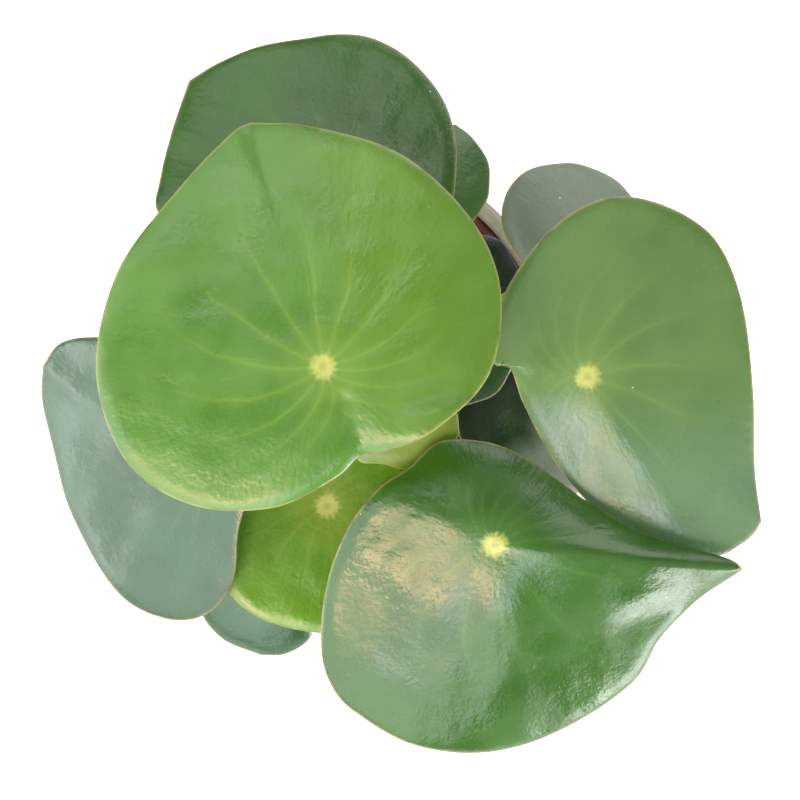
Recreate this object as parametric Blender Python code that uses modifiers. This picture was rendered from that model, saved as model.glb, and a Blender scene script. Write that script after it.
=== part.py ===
"""Potted raindrop peperomia: a round-leaved house plant in a plastic pot inside a glazed cover pot.

Metres, +Z up. The origin is the middle of the cover pot's flat underside, and +Y is the top of the
photograph, which looks straight down on the plant. Sizes below are in millimetres.
"""
import math
from collections import namedtuple

import bmesh
import bpy
from mathutils import Vector, noise

MM = 0.001
GAP = 0.3
COLLECTION = "potted_raindrop_peperomia"

# Cover pot, glazed ceramic
COVER_HEIGHT = 118
COVER_FOOT_RADIUS = 52
COVER_RIM_RADIUS = 68.2
COVER_WALL = 4
COVER_FLOOR = 6
COVER_FOOT_ROUND = 2.5
COVER_INNER_ROUND = 3
POT_SIDES = 40

# Nursery pot, thin plastic with a thick collar and holes in its floor
NURSERY_HEIGHT = 106
NURSERY_FOOT_RADIUS = 45
NURSERY_NECK_RADIUS = 60.4
NURSERY_RIM_RADIUS = 63.3
NURSERY_WALL = 1.2
NURSERY_COLLAR_WALL = 2.2
NURSERY_COLLAR_HEIGHT = 9
NURSERY_COLLAR_DRAFT = 1.3
NURSERY_FLOOR = 1.6
NURSERY_FOOT_CHAMFER = 1
DRAIN_HOLES = 6
DRAIN_HOLE_RADIUS = 4
DRAIN_CIRCLE_RADIUS = 28
DRAIN_HOLE_SIDES = 10

# Soil and stem
SOIL_BELOW_RIM = 10
SOIL_RELIEF = 1.4
SOIL_MOUND = 3
SOIL_SIDES = 32
SOIL_RINGS = 7
SOIL_RING_SPREAD = 0.9
SOIL_SIDE_GAP = 0.5
STEM_DEPTH = 24
STEM_TOP = 172
STEM_FOOT_RADIUS = 7.4
STEM_TOP_RADIUS = 5.4
STEM_TIP = 5
STEM_NODE_SPACING = 9
STEM_NODE_SWELL = 0.45
STEM_SIDES = 16

# Leaves
BLADE_THICKNESS = 1.2
BLADE_RINGS = 5
SMALL_BLADE_RINGS = 4
SMALL_BLADE_REACH = 30
RIM_STEPS = 2
CUP_POWER = 2.1
DIMPLE_DEPTH = 1.0
DIMPLE_RADIUS = 6
PETIOLE_POINTS = 7
PETIOLE_RISE = 20
PETIOLE_STUB = 1.6
PETIOLE_GAP = 0.55
PETIOLE_PULL_OUT = 0.24
PETIOLE_PULL_IN = 0.38
PETIOLE_FLARE = 1.25
PETIOLE_TAPER = 0.85

# Colours (sRGB hex), roughness
FINISHES = {
    "glazed_cream": ("C4BDA8", 0.25),
    "terracotta_plastic": ("8A4C42", 0.5),
    "potting_soil": ("2E241C", 0.95),
    "stem_skin": ("7C7A44", 0.5),
    "petiole_skin": ("8CA04A", 0.4),
    "leaf_bright": ("7CAA48", 0.35),
    "leaf_deep": ("44782F", 0.3),
    "leaf_mid": ("5F924A", 0.35),
    "leaf_blue": ("5A8A66", 0.3),
    "leaf_young": ("86AC28", 0.35),
}

# A leaf: its name, its finish, the umbo (the spot over its stalk), the height and bearing at which
# its stalk leaves the stem, the stalk's radius, and the rim. The rim starts at the pointed tip and
# goes round, either way, as (bearing in degrees from +X, reach from the umbo, rise above it). Lean is
# how steeply the middle falls, in degrees, and toward which bearing, where it isn't the rim's own
# slope. Cup says how late the blade bends from that slope to its rim.
Leaf = namedtuple("Leaf", "name finish umbo start bearing radius rim lean cup", defaults=(None, CUP_POWER))


def round_rim(heading, length, pitch, droop):
    """Rim of an ordinary leaf that hangs toward its tip: rounded, with a point and a shallow notch."""
    rim = []
    for turn in (0, 35, 75, 115, 150, 180, 210, 245, 285, 325):
        angle = math.radians(turn)
        share = 0.73 + 0.26 * math.cos(angle) - 0.05 * math.cos(2 * angle) + 0.04 * math.cos(3 * angle)
        reach = length * share
        rise = -reach * math.cos(angle) * math.tan(math.radians(pitch)) - droop * share ** 2
        rim.append((heading + turn, reach, rise))
    return rim


LEAVES = [
    Leaf("leaf_01", "leaf_bright", (-2, -2.5, 238), 160, 230, 2.4, [
        (107, 65, -11), (93, 60.5, -6), (70, 56.5, -3), (45, 52, -1), (23, 48, -1), (357, 41, 2),
        (328, 31, 4), (306, 26, 1.2), (293, 24, -1.2), (276, 28, -1), (250, 37.5, -2), (226, 48, -4),
        (205, 55, -4.5), (181, 57, -4), (155, 57, -5), (129, 58, -7), (112, 63.5, -9)]),
    Leaf("leaf_02", "leaf_deep", (42, -49, 212), 146, 310, 2.4, [
        (353.5, 68, -14), (355.3, 65.4, -13.6), (357, 59, -13), (359, 50, -12.5), (4, 39.5, -12),
        (22, 28, -10.5), (53, 23.5, -8), (74, 24.5, -6.5), (95, 27, -5), (118, 30.5, -4), (138, 30, -4),
        (154, 33.5, -5),
        (175, 39, -8), (196, 46.5, -13), (213, 55, -18), (224, 59.5, -21), (234, 60.5, -23.5),
        (249, 61, -26), (265, 60, -27), (281, 58, -27), (299, 56, -25.5), (316, 55.5, -22.5),
        (330, 53.5, -19), (344, 58.5, -16), (351.5, 65.6, -14.6)], (16, 240), 1.7),
    Leaf("leaf_03", "leaf_mid", (66.8, -4.8, 208), 132, 357, 2.3, [
        (321, 62.3, -12.5), (332, 53, -13), (356, 46, -11), (26, 47, -8), (48, 50.5, -4),
        (69, 49.5, 0), (87, 46, 6), (107, 38.5, 10), (132, 31.5, 11), (157, 27.5, 11), (172, 25, 9),
        (174, 20.5, 6), (205, 18, -3), (253, 24.5, -8.5), (278, 37.5, -12), (295, 52, -13.5),
        (307, 60.6, -13.5), (313, 62.3, -13), (317.5, 62.9, -12.5)], (14, 280), 1.4),
    Leaf("leaf_04", "leaf_blue", (-40.5, -30.5, 192), 142, 217, 2.2, [
        (146, 52.5, -20), (137, 52, -16), (126, 45.5, -8), (97, 35, 6), (61, 28.5, 11), (29, 24, 11),
        (354, 18, 8), (311, 20.5, 4), (291, 32, -2), (275, 40, -8), (258, 42.5, -14), (236, 41, -18),
        (200, 38, -21), (173, 41.5, -23), (156, 49, -24)]),
    Leaf("leaf_05", "leaf_deep", (-2, 44, 198), 148, 93, 2.2, [
        (139, 53, -20), (129, 50.5, -18), (115, 48, -16), (99, 46, -14), (87, 46.5, -13),
        (75, 46.5, -12), (59, 44, -8), (39, 40.5, -4), (16, 35.5, 1), (345, 31.5, 5), (312, 23, 6),
        (272, 16, 3), (225, 25.5, 5), (203, 37.5, 2), (185, 46.5, -4), (174, 47, -8),
        (155, 48.5, -15)]),
    Leaf("leaf_06", "leaf_deep", (27.5, 52, 168), 132, 62, 1.6, [
        (71, 18, -8), (52, 17, -8), (24, 16.5, -8), (359, 15.5, -6), (337, 15.5, -4), (302, 15.5, 0),
        (263, 14, 3), (217, 12.5, 3), (158, 11.5, 0), (107, 15, -5)]),
    Leaf("leaf_07", "leaf_blue", (69, 37, 170), 141, 14, 1.8, [
        (26, 19.5, -10), (55, 20, -14), (85, 20.5, -12), (105, 21.5, -10), (129, 23.5, -6),
        (149, 24, -3), (169, 23, 0), (189, 21, 3), (213, 18.5, 6), (254, 16, 7), (297, 15.5, 4),
        (348, 16, -4)]),
    Leaf("leaf_08", "leaf_young", (-3, -40.3, 184), 152, 266, 1.9, [
        (284, 38, -1.5), (304, 29, -0.5), (343, 22.5, 0), (24, 25.5, 1), (49, 24.5, 2),
        (72, 16.5, 2), (116, 16, 1), (160, 21, 0.5), (193, 30, 0), (212, 35.5, 0), (232, 36.5, -0.5),
        (252, 35.5, -1)], (2, 300)),
    Leaf("leaf_09", "leaf_young", (20, -16, 206), 163, 325, 1.5, [
        (343, 13.5, -2), (12, 12, -1), (60, 10.5, 1), (117, 10.5, 1.5), (174, 12, 0), (216, 17.5, -2.5),
        (238, 14, -2.5), (272, 13.5, -2.5), (306, 14, -2.5)]),
    Leaf("leaf_10", "leaf_blue", (34.5, -6.5, 186), 157, 343, 1.3, [
        (18, 14.5, -3), (33, 10.5, -1), (72, 7, 0), (141, 6, 1), (195, 6.5, 1), (251, 6, 0),
        (315, 6.5, -1), (349, 10, -2)]),
    Leaf("leaf_11", "leaf_deep", (51, -18.5, 152), 124, 336, 1.8, [
        (314, 28.5, -12), (356, 19.5, -2), (50, 15.5, 6), (102, 16.5, 8), (149, 17.5, 6),
        (190, 16.5, 2), (244, 16.5, -4), (292, 21, -8)]),
    Leaf("leaf_12", "leaf_blue", (-23, -69, 156), 122, 251, 1.7, [
        (266, 18, -11), (287, 18.5, -10), (312, 18.5, -8), (331, 16.5, -5), (23, 14, 1),
        (76, 12, 5), (142, 13.5, 1), (179, 18, -4), (200, 19, -7), (229, 18, -10)]),
    Leaf("leaf_13", "leaf_deep", (38.5, 24, 130), 112, 48, 1.4, [
        (37, 16, -4), (57, 17, -3), (79, 16, -2), (108, 14.5, 0), (145, 13, 2), (199, 14.5, 3),
        (236, 16.5, 2), (281, 15.5, 0), (324, 15, -3), (6, 16, -4)]),
    Leaf("leaf_14", "leaf_deep", (-38, 16, 158), 130, 157, 1.7, round_rim(157, 24, 18, 4)),
    Leaf("leaf_15", "leaf_mid", (82, 12, 146), 118, 2, 1.7, round_rim(8, 26, 22, 4)),
    Leaf("leaf_16", "leaf_mid", (-10, 52, 150), 120, 101, 1.7, round_rim(101, 26, 22, 4)),
    Leaf("leaf_17", "leaf_deep", (44, -66, 144), 111, 304, 1.7, round_rim(304, 26, 20, 4)),
    Leaf("leaf_18", "leaf_deep", (-47, -36, 146), 117, 217, 1.7, round_rim(217, 26, 20, 4)),
]


def clear_scene():
    """Remove every object, so that the model starts from nothing."""
    for item in list(bpy.data.objects):
        bpy.data.objects.remove(item, do_unlink=True)


def new_collection(name):
    """Make a collection in the scene."""
    group = bpy.data.collections.new(name)
    bpy.context.scene.collection.children.link(group)
    return group


def linear(channel):
    """Turn one sRGB channel from 0 to 1 into linear light."""
    if channel <= 0.04045:
        return channel / 12.92
    return ((channel + 0.055) / 1.055) ** 2.4


def make_material(name, hex_colour, roughness):
    """Make a plain Principled material."""
    material = bpy.data.materials.new(name)
    material.use_nodes = True
    shader = material.node_tree.nodes["Principled BSDF"]
    colour = [linear(int(hex_colour[i:i + 2], 16) / 255) for i in (0, 2, 4)]
    shader.inputs["Base Color"].default_value = (*colour, 1)
    shader.inputs["Roughness"].default_value = roughness
    shader.inputs["Metallic"].default_value = 0
    material.diffuse_color = (*colour, 1)
    return material


def add_object(name, data, material, group):
    """Wrap mesh or curve data in a named object with one material."""
    data.materials.append(material)
    item = bpy.data.objects.new(name, data)
    group.objects.link(item)
    return item


def blend(start, end, share):
    """Straight blend of two numbers."""
    return start + (end - start) * share


def cover_radius(z):
    """Outer radius of the cover pot at a height."""
    return blend(COVER_FOOT_RADIUS, COVER_RIM_RADIUS, z / COVER_HEIGHT)


def nursery_floor_z():
    """Height of the nursery pot's underside."""
    return COVER_FLOOR + GAP


def nursery_top_z():
    """Height of the nursery pot's rim."""
    return nursery_floor_z() + NURSERY_HEIGHT


def nursery_radius(z):
    """Outer radius of the nursery pot's wall at a height, below its collar."""
    share = (z - nursery_floor_z()) / (NURSERY_HEIGHT - NURSERY_COLLAR_HEIGHT)
    return blend(NURSERY_FOOT_RADIUS, NURSERY_NECK_RADIUS, share)


def soil_top_z():
    """Height of the soil where it meets the nursery pot."""
    return nursery_top_z() - SOIL_BELOW_RIM


def stem_foot_z():
    """Height of the stem's buried end."""
    return soil_top_z() - STEM_DEPTH


def stem_radius(z):
    """Radius of the stem at a height: a slow taper with a swelling at each leaf scar."""
    share = (z - stem_foot_z()) / (STEM_TOP - stem_foot_z())
    swell = 0
    if z > soil_top_z() + SOIL_MOUND + 2:
        swell = STEM_NODE_SWELL * (0.5 + 0.5 * math.cos(math.tau * (STEM_TOP - z) / STEM_NODE_SPACING))
    return blend(STEM_FOOT_RADIUS, STEM_TOP_RADIUS, share) + swell


def arc(centre_x, centre_z, radius, start, end, count):
    """Points along an arc of a profile, from one angle in degrees to another."""
    points = []
    for i in range(count + 1):
        angle = math.radians(blend(start, end, i / count))
        points.append((centre_x + radius * math.cos(angle), centre_z + radius * math.sin(angle)))
    return points


def turned(name, profile, sides, material, group):
    """Turn a profile of (radius, height) points round the Z axis with a Screw modifier."""
    mesh = bpy.data.meshes.new(name)
    verts = [(x * MM, 0, z * MM) for x, z in profile]
    mesh.from_pydata(verts, [(i, i + 1) for i in range(len(verts) - 1)], [])
    item = add_object(name, mesh, material, group)
    screw = item.modifiers.new("turn", "SCREW")
    screw.axis = "Z"
    screw.angle = math.tau
    screw.steps = sides
    screw.render_steps = sides
    screw.use_merge_vertices = True
    screw.merge_threshold = 0.00001
    return item


def cover_pot(group, material):
    """Thick glazed pot with a flat underside, a rounded foot and a rounded lip."""
    lip = COVER_WALL / 2
    lip_x = COVER_RIM_RADIUS - lip
    lip_z = COVER_HEIGHT - lip
    inner_foot = cover_radius(COVER_FLOOR) - COVER_WALL
    foot_x = COVER_FOOT_RADIUS - COVER_FOOT_ROUND
    profile = [(0, COVER_FLOOR), (inner_foot - COVER_INNER_ROUND, COVER_FLOOR),
               (inner_foot, COVER_FLOOR + COVER_INNER_ROUND)]
    profile += arc(lip_x, lip_z, lip, 180, 0, 6)
    profile += arc(foot_x, COVER_FOOT_ROUND, COVER_FOOT_ROUND, 0, -90, 3)
    profile.append((0, 0))
    return turned("cover_pot", profile, POT_SIDES, material, group)


def drain_cutter(group):
    """One cutter that holds all the drain holes."""
    bm = bmesh.new()
    for i in range(DRAIN_HOLES):
        angle = math.tau * i / DRAIN_HOLES
        middle = Vector((math.cos(angle), math.sin(angle), 0)) * DRAIN_CIRCLE_RADIUS
        middle.z = nursery_floor_z() + NURSERY_FLOOR / 2
        made = bmesh.ops.create_cone(bm, cap_ends=True, segments=DRAIN_HOLE_SIDES, radius1=DRAIN_HOLE_RADIUS,
                                     radius2=DRAIN_HOLE_RADIUS, depth=NURSERY_FLOOR * 4)
        bmesh.ops.translate(bm, verts=made["verts"], vec=middle)
    bmesh.ops.scale(bm, vec=(MM, MM, MM), verts=bm.verts)
    mesh = bpy.data.meshes.new("drain_cutter")
    bm.to_mesh(mesh)
    bm.free()
    cutter = bpy.data.objects.new("drain_cutter", mesh)
    cutter.hide_render = True
    cutter.display_type = "WIRE"
    group.objects.link(cutter)
    return cutter


def nursery_pot(group, cutters, material):
    """Thin tapered pot with a thick collar and drain holes."""
    floor_z = nursery_floor_z()
    top_z = nursery_top_z()
    collar_z = top_z - NURSERY_COLLAR_HEIGHT
    round_off = NURSERY_COLLAR_WALL / 2
    inner_foot = NURSERY_FOOT_RADIUS - NURSERY_WALL
    profile = [(0, floor_z + NURSERY_FLOOR), (inner_foot, floor_z + NURSERY_FLOOR),
               (NURSERY_NECK_RADIUS - NURSERY_WALL, collar_z)]
    profile += arc(NURSERY_RIM_RADIUS - round_off, top_z - round_off, round_off, 180, 0, 4)
    profile += [(NURSERY_RIM_RADIUS - NURSERY_COLLAR_DRAFT, collar_z), (NURSERY_NECK_RADIUS, collar_z),
                (NURSERY_FOOT_RADIUS, floor_z + NURSERY_FOOT_CHAMFER),
                (NURSERY_FOOT_RADIUS - NURSERY_FOOT_CHAMFER, floor_z), (0, floor_z)]
    pot = turned("nursery_pot", profile, POT_SIDES, material, group)
    cut = pot.modifiers.new("drain_holes", "BOOLEAN")
    cut.operation = "DIFFERENCE"
    cut.object = drain_cutter(cutters)
    return pot


def soil_height(x, y):
    """Height of the soil's uneven top, which mounds a little round the stem."""
    radius = math.hypot(x, y)
    lumps = noise.noise(Vector((x, y, 0)) * 0.11) + 0.6 * noise.noise(Vector((x, y, 40)) * 0.27)
    return soil_top_z() + SOIL_MOUND * math.exp(-(radius / 24) ** 2) + SOIL_RELIEF * lumps


def soil(group, material):
    """Plug of soil that fills the nursery pot, with a plain hole for the stem."""
    hole = stem_radius(stem_foot_z()) + GAP
    bottom = nursery_floor_z() + NURSERY_FLOOR + GAP
    wall = NURSERY_WALL + SOIL_SIDE_GAP
    outer = nursery_radius(soil_top_z()) - wall
    profile = [(0, stem_foot_z() - GAP), (hole, stem_foot_z() - GAP)]
    for i in range(SOIL_RINGS):
        profile.append((blend(hole, outer, (i / (SOIL_RINGS - 1)) ** SOIL_RING_SPREAD), soil_top_z()))
    profile += [(nursery_radius(bottom) - wall, bottom), (0, bottom)]
    bm = bmesh.new()
    verts = [bm.verts.new((x, 0, z)) for x, z in profile]
    edges = [bm.edges.new(pair) for pair in zip(verts, verts[1:])]
    bmesh.ops.spin(bm, geom=verts + edges, cent=(0, 0, 0), axis=(0, 0, 1), angle=math.tau,
                   steps=SOIL_SIDES, use_merge=True)
    bmesh.ops.remove_doubles(bm, verts=bm.verts, dist=0.001)
    for vert in bm.verts:
        if abs(vert.co.z - soil_top_z()) < 0.01:
            vert.co.z = soil_height(vert.co.x, vert.co.y)
    bmesh.ops.triangulate(bm, faces=bm.faces)
    bmesh.ops.recalc_face_normals(bm, faces=bm.faces)
    bmesh.ops.scale(bm, vec=(MM, MM, MM), verts=bm.verts)
    mesh = bpy.data.meshes.new("soil")
    bm.to_mesh(mesh)
    bm.free()
    return add_object("soil", mesh, material, group)


def stem(group, material):
    """Short upright stem with a swelling at each leaf scar and a blunt growing tip."""
    foot = stem_foot_z()
    count = round((STEM_TOP - foot) / STEM_NODE_SPACING * 2)
    profile = [(0, STEM_TOP + STEM_TIP), (STEM_TOP_RADIUS * 0.6, STEM_TOP + STEM_TIP * 0.7)]
    for i in range(count + 1):
        z = blend(STEM_TOP, foot, i / count)
        profile.append((stem_radius(z), z))
    profile.append((0, foot))
    return turned("stem", profile, STEM_SIDES, material, group)


def plan(bearing, reach):
    """Level vector toward a bearing."""
    angle = math.radians(bearing)
    return Vector((math.cos(angle) * reach, math.sin(angle) * reach, 0))


def rim_points(leaf):
    """Smooth rim of a leaf as offsets from its umbo: sharp at the tip, through every given point."""
    marks = [plan(bearing, reach) + Vector((0, 0, rise)) for bearing, reach, rise in leaf.rim]
    marks.append(marks[0])
    marks.insert(0, marks[0] * 2 - marks[1])
    marks.append(marks[-1] * 2 - marks[-2])
    points = []
    for before, start, end, after in zip(marks, marks[1:], marks[2:], marks[3:]):
        for i in range(RIM_STEPS):
            t = i / RIM_STEPS
            bend = (2 * before - 5 * start + 4 * end - after) * t * t
            bend += (3 * start - before - 3 * end + after) * t ** 3
            points.append(start + ((end - before) * t + bend) / 2)
    return points


def umbo_slope(leaf, rim):
    """Slope of the blade at its umbo, along X and Y: its lean, or the tilt that the rim has on average."""
    if leaf.lean:
        fall, bearing = leaf.lean
        return -plan(bearing, math.tan(math.radians(fall)))
    slope = Vector((0, 0, 0))
    for point in rim:
        reach_squared = point.x ** 2 + point.y ** 2
        slope += Vector((point.x, point.y, 0)) * (2 * point.z / reach_squared / len(rim))
    return slope


def blade_point(edge, slope, cup, share):
    """Point of a blade at a share of the way from the umbo to a point of the rim."""
    tilt = edge.x * slope.x + edge.y * slope.y
    lift = tilt * share + (edge.z - tilt) * share ** cup
    reach = math.hypot(edge.x, edge.y) * share
    dimple = DIMPLE_DEPTH * (math.exp(-(reach / DIMPLE_RADIUS) ** 2) - 1) * (1 - share)
    return Vector((edge.x * share, edge.y * share, lift - dimple))


def blade(leaf, group, material):
    """Leaf blade: a spun disc whose points are moved to the leaf's form, then thickened downward."""
    rim = rim_points(leaf)
    slope = umbo_slope(leaf, rim)
    longest = max(reach for bearing, reach, rise in leaf.rim)
    rings = SMALL_BLADE_RINGS if longest < SMALL_BLADE_REACH else BLADE_RINGS
    bm = bmesh.new()
    spoke = [bm.verts.new((i / rings, 0, 0)) for i in range(rings + 1)]
    edges = [bm.edges.new(pair) for pair in zip(spoke, spoke[1:])]
    bmesh.ops.spin(bm, geom=spoke + edges, cent=(0, 0, 0), axis=(0, 0, 1), angle=math.tau,
                   steps=len(rim), use_merge=True)
    bmesh.ops.remove_doubles(bm, verts=bm.verts, dist=0.0001)
    for vert in bm.verts:
        share = vert.co.xy.length
        turn = math.atan2(vert.co.y, vert.co.x) / math.tau * len(rim)
        edge = rim[round(turn) % len(rim)]
        vert.co = (Vector(leaf.umbo) + blade_point(edge, slope, leaf.cup, share)) * MM
    bmesh.ops.recalc_face_normals(bm, faces=bm.faces)
    if sum(face.normal.z for face in bm.faces) < 0:
        bmesh.ops.reverse_faces(bm, faces=bm.faces)
    mesh = bpy.data.meshes.new(leaf.name + "_blade")
    bm.to_mesh(mesh)
    bm.free()
    mesh.shade_smooth()
    item = add_object(leaf.name + "_blade", mesh, material, group)
    split = item.modifiers.new("split", "TRIANGULATE")
    split.quad_method = "FIXED"
    thick = item.modifiers.new("thickness", "SOLIDIFY")
    thick.thickness = BLADE_THICKNESS * MM
    thick.offset = -1
    return item


def petiole_path(leaf):
    """Smooth path of a leaf stalk, from the stem's skin to the underside of the blade."""
    slope = umbo_slope(leaf, rim_points(leaf))
    normal = Vector((-slope.x, -slope.y, 1)).normalized()
    end = Vector(leaf.umbo) - normal * (BLADE_THICKNESS + PETIOLE_GAP)
    rise = math.radians(PETIOLE_RISE)
    away = plan(leaf.bearing, math.cos(rise)) + Vector((0, 0, math.sin(rise)))
    fattest = max(stem_radius(leaf.start + step * leaf.radius) for step in (-1, 0, 1))
    clear = fattest + GAP + leaf.radius * PETIOLE_FLARE * math.sin(rise)
    start = plan(leaf.bearing, clear) + Vector((0, 0, leaf.start))
    length = (end - start).length
    bend_start = start + away * PETIOLE_STUB
    bend_end = end - normal * PETIOLE_STUB
    pull_out = bend_start + away * length * PETIOLE_PULL_OUT
    pull_in = bend_end - normal * length * PETIOLE_PULL_IN
    points = [start]
    for i in range(PETIOLE_POINTS):
        t = i / (PETIOLE_POINTS - 1)
        near = bend_start * (1 - t) ** 3 + pull_out * (3 * t * (1 - t) ** 2)
        far = pull_in * (3 * t * t * (1 - t)) + bend_end * t ** 3
        points.append(near + far)
    return points + [end]


def petiole(leaf, group, material):
    """Leaf stalk: a tapering round tube with filled ends."""
    curve = bpy.data.curves.new(leaf.name + "_petiole", "CURVE")
    curve.dimensions = "3D"
    curve.bevel_depth = leaf.radius * MM
    curve.bevel_resolution = 2
    curve.use_fill_caps = True
    points = petiole_path(leaf)
    spline = curve.splines.new("POLY")
    spline.points.add(len(points) - 1)
    for i, (slot, place) in enumerate(zip(spline.points, points)):
        slot.co = (*(place * MM), 1)
        slot.radius = blend(1, PETIOLE_TAPER, i / (len(points) - 1))
    spline.points[0].radius = PETIOLE_FLARE
    return add_object(leaf.name + "_petiole", curve, material, group)


def build():
    """Make the whole potted plant."""
    clear_scene()
    group = new_collection(COLLECTION)
    cutters = new_collection("cutters")
    finishes = {}
    for name, (hex_colour, roughness) in FINISHES.items():
        finishes[name] = make_material(name, hex_colour, roughness)
    cover_pot(group, finishes["glazed_cream"])
    nursery_pot(group, cutters, finishes["terracotta_plastic"])
    soil(group, finishes["potting_soil"])
    stem(group, finishes["stem_skin"])
    for leaf in LEAVES:
        blade(leaf, group, finishes[leaf.finish])
        petiole(leaf, group, finishes["petiole_skin"])


build()
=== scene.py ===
"""Looks of the potted raindrop peperomia.

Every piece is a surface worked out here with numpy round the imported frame: glossy peltate leaves with
their veins and margins, round stalks, a scarred stem, crumbly soil, a moulded nursery pot and a glazed
cover pot. Sizes are in millimetres unless a name or a docstring says otherwise, and bearings are in
degrees, anticlockwise from +X seen from above.
"""
import logging
import math
from dataclasses import dataclass, field
from enum import Enum
from typing import Any, ClassVar, Mapping

import bpy
import numpy as np
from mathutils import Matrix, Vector


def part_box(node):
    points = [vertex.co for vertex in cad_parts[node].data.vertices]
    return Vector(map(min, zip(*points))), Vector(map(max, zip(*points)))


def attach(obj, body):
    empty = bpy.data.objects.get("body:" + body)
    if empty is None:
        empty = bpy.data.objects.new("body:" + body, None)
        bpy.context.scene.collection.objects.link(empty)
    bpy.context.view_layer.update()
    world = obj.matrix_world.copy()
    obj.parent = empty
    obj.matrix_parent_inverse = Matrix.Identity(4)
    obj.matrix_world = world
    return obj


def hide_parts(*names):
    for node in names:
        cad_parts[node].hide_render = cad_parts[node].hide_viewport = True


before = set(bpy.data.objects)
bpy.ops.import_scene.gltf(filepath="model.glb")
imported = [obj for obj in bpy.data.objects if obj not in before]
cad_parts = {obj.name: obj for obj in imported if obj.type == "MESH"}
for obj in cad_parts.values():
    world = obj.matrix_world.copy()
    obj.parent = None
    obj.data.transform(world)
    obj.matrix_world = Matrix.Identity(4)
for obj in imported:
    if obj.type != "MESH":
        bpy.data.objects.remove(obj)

MM = 0.001
BODY = "root"
VEIN_SPACING = math.radians(30)
VEIN_PHASE = math.radians(-11)
VEIN_CURL = 0.4
GOLDEN_TURN = math.radians(137.5)
SOIL_BELOW_RIM = 10
STEM_BARE_BELOW = 5
log = logging.getLogger("peperomia")


def linear(hex_colour: str) -> tuple[float, float, float, float]:
    """Turn an sRGB hex colour into linear light with alpha 1.

    Args:
        hex_colour: six hex digits, such as "76A555".

    Returns:
        Red, green, blue and alpha.
    """
    parts = np.array([int(hex_colour[i:i + 2], 16) / 255 for i in (0, 2, 4)])
    light = np.where(parts <= 0.04045, parts / 12.92, ((parts + 0.055) / 1.055) ** 2.4)
    return (*light.tolist(), 1.0)


class Number:
    """A number in a node tree. Arithmetic on it adds Math nodes, so a pattern reads as its formula."""

    def __init__(self, socket: bpy.types.NodeSocket) -> None:
        """Keep the socket that gives the number."""
        self.socket = socket

    def math(self, operation: str, *terms: Any) -> "Number":
        """Add a Math node of these terms to the tree that this number is in."""
        node = add_node(self.socket.id_data, "Math", dict(enumerate(terms)), operation=operation)
        return Number(node.outputs[0])

    def __add__(self, other: Any) -> "Number":
        """This number plus another."""
        return self.math("ADD", self, other)

    def __sub__(self, other: Any) -> "Number":
        """This number less another."""
        return self.math("SUBTRACT", self, other)

    def __rsub__(self, other: Any) -> "Number":
        """Another number less this one."""
        return self.math("SUBTRACT", other, self)

    def __mul__(self, other: Any) -> "Number":
        """This number times another."""
        return self.math("MULTIPLY", self, other)

    def __truediv__(self, other: Any) -> "Number":
        """This number over another."""
        return self.math("DIVIDE", self, other)

    def __rtruediv__(self, other: Any) -> "Number":
        """Another number over this one."""
        return self.math("DIVIDE", other, self)

    def __abs__(self) -> "Number":
        """Size of this number without its sign."""
        return self.math("ABSOLUTE", self)

    def at_least(self, low: Any) -> "Number":
        """The larger of this number and another."""
        return self.math("MAXIMUM", self, low)


def fill(node: bpy.types.Node, inputs: Mapping[Any, Any]) -> None:
    """Give a node's inputs their values and links.

    Args:
        node: the node.
        inputs: a value, hex colour, socket or Number for each input, by name or index.
    """
    for key, value in inputs.items():
        if isinstance(value, Number):
            value = value.socket
        if isinstance(value, bpy.types.NodeSocket):
            node.id_data.links.new(value, node.inputs[key])
        else:
            node.inputs[key].default_value = linear(value) if isinstance(value, str) else value


def add_node(tree: bpy.types.NodeTree, kind: str, inputs: Mapping[Any, Any] | None = None,
             **settings: Any) -> bpy.types.Node:
    """Add a node with its settings and links.

    Args:
        tree: the node tree to add to.
        kind: Blender's name of the node's type, without "ShaderNode".
        inputs: what fill takes.
        settings: the node's own properties.

    Returns:
        The new node.
    """
    node = tree.nodes.new("ShaderNode" + kind)
    for key, value in settings.items():
        setattr(node, key, value)
    fill(node, inputs or {})
    return node


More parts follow.
